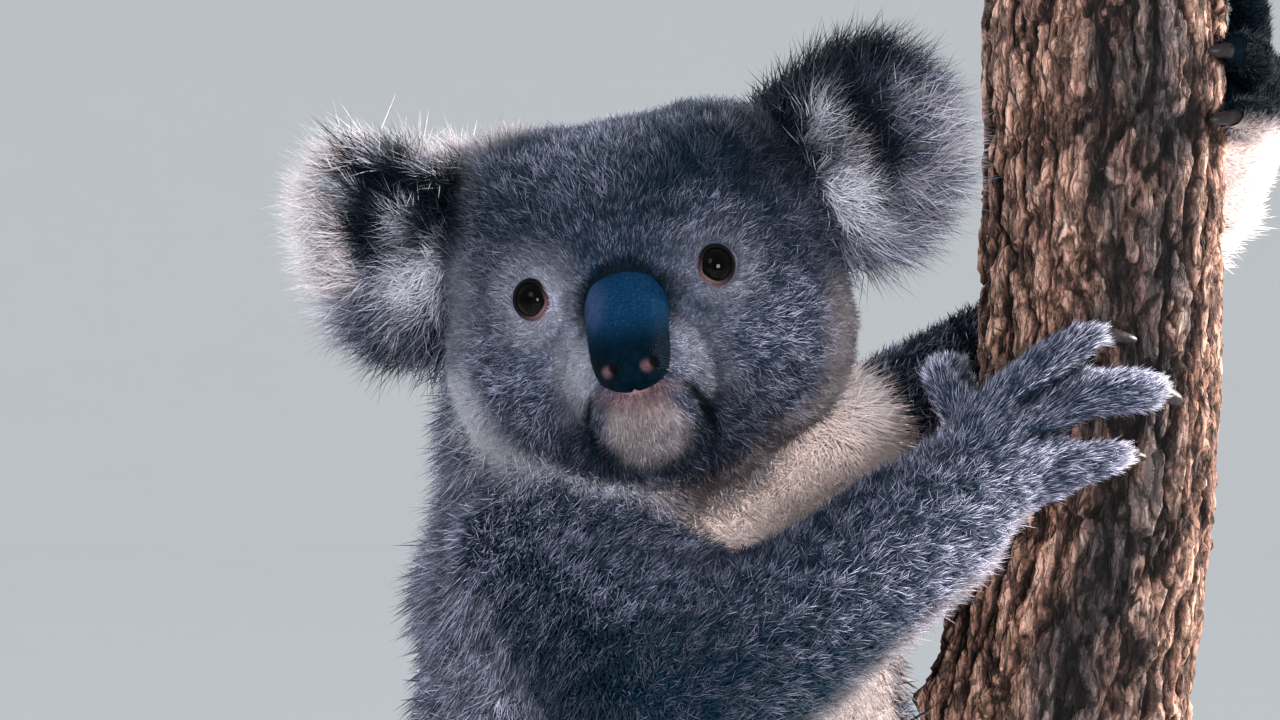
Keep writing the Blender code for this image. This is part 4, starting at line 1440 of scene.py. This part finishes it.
def eyeMaterial():
    sheet = Sheet("eye_gloss", roughness=0.03, specular_ior_level=0.05)
    out, slit = sheet.attribute("out"), sheet.attribute("slit")
    fibres = sheet.noise(sheet.place(1.0, 1.0, 0.3), 1400.0, 3.0).between(0.3, 0.7)
    # painted glow on the lower part of the iris
    iris = sheet.mixColour(sheet.attribute("low"), eyePaint["iris"], eyePaint["irisLowGlow"])
    colour = sheet.layers(
        sheet.mixColour(fibres * 0.6, iris, shaded(eyePaint["iris"], 0.35)),
        (slit.between(1.05, 0.85), eyePaint["pupil"]),
        (out.between(0.80, 0.93), eyePaint["pupil"]),
        (out.between(1.00, 1.10), eyePaint["white"]),
    )
    return sheet.paint(base_color=colour)


noseShape = {
    "voxel": 0.00055, "softening": 60, "wider": 0.05, "wideLow": 0.09,
    "nostrilAcross": 0.0064, "nostrilDown": -0.0272, "nostrilSize": (0.0030, 0.0024),
    "nostrilDepth": 0.0018, "cleftDepth": 0.0012, "cleftWidth": 0.0009,
    # the blue upper part and the sheen are a painted reflection of the sky, the lower part is painted
    # shade, the nostril's pink wall is partly painted light, and the last colour is painted shade inside
    # each opening
    "upper": (0.0015, 0.022, 0.056), "lower": (0.0003, 0.0030, 0.0050), "sheen": (0.040, 0.064, 0.145),
    "nostril": (0.12, 0.070, 0.078), "deep": (0.003, 0.002, 0.003),
    "sheenSpot": ((-0.0105, 0.010, -0.0050), (0.0045, 0.02, 0.0080), 0.7),
}


def buildNose():
    nose = copyOfNode("nose")
    nose.name = "nose_pad"
    remeshEvenly(nose, noseShape["voxel"])
    points = spread(pointsOf(nose.data), edgesOf(nose.data), noseShape["softening"])
    local = inHead(points)
    local[:, 0] *= 1 + noseShape["wider"] + noseShape["wideLow"] * step(-0.010, -0.024, local[:, 2])
    across, ahead, high = local.T
    front = step(0.002, 0.012, ahead)
    wide, tall = noseShape["nostrilSize"]
    aside = np.abs(across) - noseShape["nostrilAcross"]
    above = high - noseShape["nostrilDown"]
    hole = step(1.1, 0.35, np.hypot(aside / wide, above / tall)) * front
    cleft = bell(across, noseShape["cleftWidth"]) * front * step(-0.026, -0.032, high)
    local[:, 1] -= noseShape["nostrilDepth"] * hole + noseShape["cleftDepth"] * cleft
    setPoints(nose.data, outOfHead(local))
    # the lit wall of each nostril, pink skin that is partly painted light, and the painted shade of its
    # opening beside it
    aside = aside * np.sign(across)
    wall = np.hypot((aside + 0.0008) / 0.0024, (above + 0.0004) / 0.0024)
    opening = np.hypot((aside - 0.0013) / 0.0016, (above - 0.0004) / 0.0019)
    setAttributes(
        nose.data,
        hole=step(1.15, 0.15, wall) * front,
        deep=step(1.35, 0.55, opening) * front,
        low=step(-0.008, -0.022, high),
        sheen=blob(local, *noseShape["sheenSpot"]),
        edge=step(0.011, 0.004, ahead),
    )
    nose.data.shade_smooth()
    nose.data.materials.append(noseMaterial())
    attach(nose, "root")
    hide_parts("nose")


def noseMaterial():
    sheet = Sheet("nose_leather", roughness=0.42, specular_ior_level=0.01)
    mottle = sheet.noise(sheet.place(), 420.0, 3.0).between(0.3, 0.7)
    sheenSpeckle = sheet.noise(sheet.place(), 1900.0, 2.0).between(0.52, 0.72)
    low, hole = sheet.attribute("low"), sheet.attribute("hole")
    colour = sheet.layers(
        # painted light: the upper part is lighter as a reflection of the sky, and the lower part is darker
        # as shade
        sheet.mixColour(low, noseShape["upper"], noseShape["lower"]),
        # painted sheen, in speckles over the upper part and in a spot on the left
        ((low * -1.0 + 1.0) * sheenSpeckle * 0.55, noseShape["sheen"]),
        (sheet.attribute("sheen") * 0.75, noseShape["sheen"]),
        (mottle * 0.35, shaded(noseShape["upper"], 0.5)),
        (sheet.attribute("edge") * 0.9, noseShape["lower"]),
        # the nostril's pink wall, partly painted light, and the painted shade in its opening
        (hole * 0.7, noseShape["nostril"]),
        (sheet.attribute("deep"), noseShape["deep"]),
    )
    rough = (mottle * 0.14 + 0.36 + hole * 0.3).clamped()
    relief = sheet.bump(sheet.cracks(sheet.place(), 1500.0, "F1"), 0.8, 0.0004)
    return sheet.paint(base_color=colour, roughness=rough, normal=relief)


clawPaint = {
    "horn": (0.022, 0.019, 0.020), "tip": (0.006, 0.006, 0.007), "pale": (0.040, 0.035, 0.036),
    "swell": 0.0005,  # of the claws of the hands
}


def buildClaws():
    names = sorted(name for name in nodes if name.startswith("claw_"))
    parts = []
    for name in names:
        claw = copyOfNode(name, clawPaint["swell"] if "hand" in name else 0.0)
        _, out, _ = aroundPerch(pointsOf(claw.data))
        setAttributes(claw.data, out=(out - out.min()) / np.ptp(out))
        rounded = claw.modifiers.new("Round", "SUBSURF")
        rounded.levels = rounded.render_levels = 3
        applyAll(claw)
        claw.data.shade_smooth()
        parts.append(claw)
    claws = joinAll(parts, "claws")
    sheet = Sheet("claw_horn", roughness=0.40, specular_ior_level=0.14)
    streaks = sheet.noise(sheet.place(1.0, 1.0, 0.4), 900.0, 3.0).between(0.3, 0.7)
    colour = sheet.mixColour(streaks * 0.7, clawPaint["horn"], clawPaint["tip"])
    outer = sheet.attribute("out").between(0.55, 1.0) * 0.55
    colour = sheet.mixColour(outer, colour, clawPaint["pale"])
    claws.data.materials.append(sheet.paint(base_color=colour, normal=sheet.bump(streaks, 0.25, 0.0002)))
    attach(claws, "root")
    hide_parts(*names)


barkShape = {
    "columns": 296, "rows": 316, "noiseRadius": 0.043,
    "plateRound": 21, "plateTall": 0.046, "flakeRound": 80, "flakeTall": 0.0150,
    "relief": 0.0022, "flakeRelief": 0.0017, "grainRelief": 0.0009, "sunk": 0.0012,
    # how each ring of a sawn end is smaller than the one before
    "sawnRings": (0.93, 0.86, 0.86, 0.80, 0.72, 0.60, 0.45, 0.25),
}

barkPaint = {
    "weathered": (
        (0.10, (0.0064, 0.0056, 0.0064)), (0.30, (0.0256, 0.0208, 0.0224)),
        (0.46, (0.0640, 0.0528, 0.0544)), (0.62, (0.1360, 0.1088, 0.1056)),
        (0.78, (0.2560, 0.2000, 0.1888)), (0.95, (0.4800, 0.3760, 0.3440)),
    ),
    # the bright warm bark of the trunk's sides: bare flaked bark, painted lighter as painted light
    "flaked": (
        (0.08, (0.017, 0.011, 0.010)), (0.26, (0.108, 0.056, 0.043)), (0.42, (0.324, 0.177, 0.130)),
        (0.58, (0.562, 0.324, 0.242)), (0.76, (0.821, 0.529, 0.421)), (0.95, (0.900, 0.842, 0.713)),
    ),
    "sawn": ((0.46, 0.30, 0.18), (0.25, 0.14, 0.075)),
}


def cells(around, up, wide, seed):
    # jittered cells that wrap round: the gap to the nearest edge, and each cell's own number
    cellDice = np.random.default_rng(seed)
    rows = int(math.floor(up.max())) + 4
    jitter = cellDice.uniform(0.08, 0.92, (rows, wide, 2))
    own = cellDice.random((rows, wide))
    column, row = np.floor(around).astype(int), np.floor(up).astype(int)
    nearest = np.full(len(around), farAway)
    second = np.full(len(around), farAway)
    number = np.zeros(len(around))
    for shiftRow in (-1, 0, 1):
        for shiftColumn in (-1, 0, 1):
            c, r = column + shiftColumn, row + shiftRow
            spot = jitter[r + 1, c % wide]
            away = np.hypot(c + spot[:, 0] - around, r + spot[:, 1] - up)
            closer = away < nearest
            second = np.where(closer, nearest, np.minimum(second, away))
            number = np.where(closer, own[r + 1, c % wide], number)
            nearest = np.where(closer, away, nearest)
    return second - nearest, number


def noiseAt(points, scale):
    return np.array([noise.fractal(Vector(point * scale), 0.9, 2.1, 3) for point in points])


def buildBark():
    low, high = (corner.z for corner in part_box("perch_trunk"))
    wide, rows = barkShape["columns"], barkShape["rows"]
    level = np.linspace(low, high, rows)
    middleX, middleY, radius = (np.repeat(row, wide) for row in perchAt(level))
    heights = np.repeat(level, wide)
    angles = np.tile(np.arange(wide) * 2 * math.pi / wide, rows)
    ring = columns(np.cos(angles), np.sin(angles))
    onTrunk = columns(*(ring * barkShape["noiseRadius"]).T, heights)

    warpA = noiseAt(onTrunk * (1, 1, 0.45), 38.0)
    warpB = noiseAt(onTrunk * (1, 1, 0.6) + 4.0, 120.0)
    fibre = noiseAt(onTrunk * (1, 1, 0.16) + 9.0, 330.0)
    crumb = noiseAt(onTrunk * (1, 1, 0.55) + 13.0, 420.0)
    turns = angles / (2 * math.pi)
    plates, flakes = barkShape["plateRound"], barkShape["flakeRound"]
    around = (turns * plates + 0.55 * warpA + 0.20 * warpB) % plates
    up = (heights - low) / barkShape["plateTall"] + 0.45 * warpB + 1.0
    gap, plate = cells(around, up, plates, 31)
    around = (turns * flakes + 1.2 * warpA + 0.6 * warpB + 0.3 * crumb) % flakes
    up = (heights - low) / barkShape["flakeTall"] + 0.8 * warpB + 0.4 * crumb + 2.0
    flakeGap, flake = cells(around, up, flakes, 32)

    body = step(0.02, 0.34, gap)
    scale = step(0.0, 0.30, flakeGap)
    height = body * (0.72 + 0.28 * plate) + 0.10 * warpA
    flaking = (0.55 * flake + 0.45 * scale) * (0.4 + 0.6 * body)
    relief = barkShape["relief"] * height + barkShape["flakeRelief"] * flaking
    relief += barkShape["grainRelief"] * (fibre + 0.8 * crumb)
    reach = radius - barkShape["sunk"] - barkShape["relief"] * 0.45 + relief
    points = raiseKnot(columns(middleX + ring[:, 0] * reach, middleY + ring[:, 1] * reach, heights))
    # painted shade: paler on the raised plates and flakes and darker in the hollows, with the bark's fibre
    # and crumb
    shade = 0.62 * height + 0.26 * (0.5 * flake + 0.5 * scale) + 0.20 * fibre + 0.16 * crumb

    bark = pieceFromArrays("bark_trunk", points, ringFaces(rows, wide, False).ravel(), 4)
    # the trunk's two sides, as seen from the front, turn to bare flaked bark, painted brighter and warmer
    # as painted light
    flaked = step(0.10, 0.60, np.abs(ring[:, 0] - 0.12) + 0.35 * warpA + 0.20 * warpB - 0.12)
    setAttributes(
        bark.data,
        relief=np.clip(shade, 0, 1),
        own=np.clip(0.55 * flake + 0.45 * plate, 0, 1),
        cut=np.zeros(len(points)),
        flaked=flaked,
    )
    closeTrunk(bark, points[:, 2].min(), points[:, 2].max())
    bark.data.materials.append(barkMaterial((float(middleX[-1]), float(middleY[-1]), float(high))))
    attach(bark, "root")
    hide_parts("perch_trunk")


def raiseKnot(points):
    # the stub of a knot, where the CAD trunk bulges out of its line
    trunk = pointsOf(nodes["perch_trunk"].data)
    _, reach, radius = aroundPerch(trunk)
    bulge = trunk[reach - radius > 0.004]
    size = np.ptp(bulge, axis=0) / 2 + 0.003
    share = np.exp(-(((points - bulge.mean(0)) / size) ** 2).sum(1) * 1.1)
    aside, _, _ = aroundPerch(points)
    points[:, :2] += unit(aside) * ((reach - radius).max() * share)[:, None]
    return points


def closeTrunk(bark, low, high):
    # sawn ends: the rim goes over a small edge and then in to the middle
    for level in (low, high):
        openMesh(bark)
        bpy.ops.mesh.select_mode(type="VERT")
        bpy.ops.mesh.select_all(action="DESELECT")
        bm = bmesh.from_edit_mesh(bark.data)
        for edge in bm.edges:
            if edge.is_boundary and all(abs(vert.co.z - level) < 1e-5 for vert in edge.verts):
                edge.select_set(True)
        bmesh.update_edit_mesh(bark.data)
        x, y, _ = perchAt(level)
        centre = (float(x), float(y), float(level))
        for grow in barkShape["sawnRings"]:
            bpy.ops.mesh.extrude_edges_move()
            bpy.ops.transform.resize(value=(grow, grow, 1.0), center_override=centre)
        bpy.ops.mesh.merge(type="CENTER")
        closeMesh()
    faceOutward(bark)
    spots = pointsOf(bark.data)
    _, reach, radius = aroundPerch(spots)
    ends = (spots[:, 2] < low + 1e-5) | (spots[:, 2] > high - 1e-5)
    cut = ends * step(0.97, 0.92, reach / radius)
    bark.data.attributes["cut"].data.foreach_set("value", cut.astype(np.float32))
    bark.data.shade_smooth()


def barkMaterial(topMiddle):
    sheet = Sheet("rough_bark", roughness=0.88, specular_ior_level=0.22)
    fibre = sheet.noise(sheet.place(1.0, 1.0, 0.30), 520.0, 5.0, 0.65)
    crumb = sheet.noise(sheet.place(1.0, 1.0, 0.7), 1300.0, 4.0, 0.7)
    patch = sheet.noise(sheet.place(1.0, 1.0, 0.5), 60.0, 3.0)
    flaked = sheet.attribute("flaked")
    # the relief turns the raised bark paler and the hollows darker, as painted shade
    level = sheet.attribute("relief") * 0.72 + (fibre - 0.5) * 0.72 + (crumb - 0.5) * 0.42
    level = level + (sheet.attribute("own") - 0.5) * 0.16 + flaked * 0.06 + 0.01
    outer, inner = sheet.ramp(level, barkPaint["weathered"]), sheet.ramp(level, barkPaint["flaked"])
    # painted light: the trunk's sides turn to the bright warm bark
    grey = sheet.mixColour((flaked * 0.75 + patch.between(0.45, 0.70) * 0.40).clamped(), outer, inner)
    rings = sheet.node("ShaderNodeVectorMath", {"operation": "SUBTRACT"}, {0: sheet.place(), 1: topMiddle})
    settings = {"wave_type": "RINGS", "rings_direction": "Z"}
    values = {"Vector": rings, "Scale": 90.0, "Distortion": 2.5, "Detail": 3.0, "Detail Scale": 1.5}
    wood = sheet.node("ShaderNodeTexWave", settings, values)
    sawn = sheet.mixColour(wood * 0.7, *barkPaint["sawn"])
    # narrow plates with cracks between them, and flakes on the plates; the cracks are darkened as painted
    # shade
    values = {"Vector": sheet.place(1.0, 1.0, 0.6), "Scale": 110.0, "Detail": 4.0}
    wander = sheet.node("ShaderNodeTexNoise", {}, values, out=1)
    values = {0: wander, 1: (0.011, 0.011, 0.034), 2: sheet.place()}
    bent = sheet.node("ShaderNodeVectorMath", {"operation": "MULTIPLY_ADD"}, values)
    shrunk = sheet.node("ShaderNodeMapping", {}, {"Vector": bent, "Scale": (1.0, 1.0, 0.25)})
    plates = sheet.cracks(shrunk, 125.0).between(0.01, 0.14)
    flakes = sheet.cracks(shrunk, 330.0).between(0.0, 0.16)
    grey = sheet.dimmed(grey, (plates * 0.76 + 0.24) * (flakes * 0.48 + 0.52))
    colour = sheet.mixColour(sheet.attribute("cut"), grey, sawn)
    lumps = sheet.bump(plates * 0.9 + flakes * 0.6 + fibre * 1.0 + crumb * 0.7, 1.0, 0.0018)
    return sheet.paint(base_color=colour, normal=lumps)


standPaint = {
    "wood": ((0.055, 0.030, 0.018), (0.125, 0.070, 0.040)), "grain": (0.028, 0.016, 0.010),
    "steel": ((0.50, 0.50, 0.52), (0.62, 0.62, 0.64)),
}


def finishStand():
    wood = Sheet("stand_wood", roughness=0.42, coat_weight=0.25, coat_roughness=0.25)
    grain = wood.noise(wood.place(1.0, 9.0, 1.0), 9.0, 6.0, 0.6)
    fine = wood.noise(wood.place(4.0, 90.0, 4.0), 9.0, 4.0, 0.6)
    colour = wood.mixColour(grain.between(0.35, 0.68), *standPaint["wood"])
    colour = wood.mixColour(fine.between(0.45, 0.75) * 0.5, colour, standPaint["grain"])
    wood.paint(base_color=colour, roughness=fine * 0.15 + 0.34, normal=wood.bump(fine, 0.12, 0.0006))
    steel = Sheet("stand_steel", metallic=1.0, roughness=0.30)
    brushed = steel.noise(steel.place(1.0, 1.0, 60.0), 60.0, 4.0)
    tint = steel.mixColour(brushed, *standPaint["steel"])
    relief = steel.bump(brushed, 0.06, 0.0002)
    steel.paint(base_color=tint, roughness=brushed * 0.14 + 0.22, normal=relief)
    for name, sheet in (("stand_base", wood), ("stand_rod", steel)):
        for place in nodes[name].material_slots:
            place.material = sheet.material


buildStudio()
print("studio ready")
buildBark()
finishStand()
print("bark and stand ready")
skin = buildSkin()
print("skin ready,", len(skin.data.vertices), "points")
table = skinTable(skin)
skin.data.materials.append(skinMaterial())
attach(skin, "root")
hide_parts(*fleshNames)
eyeGloss = eyeMaterial()
for side in sides:
    buildEye(side, eyeGloss)
buildNose()
buildClaws()
print("eyes, nose and claws ready")
buildCoat(skin, table, coatMaterial())
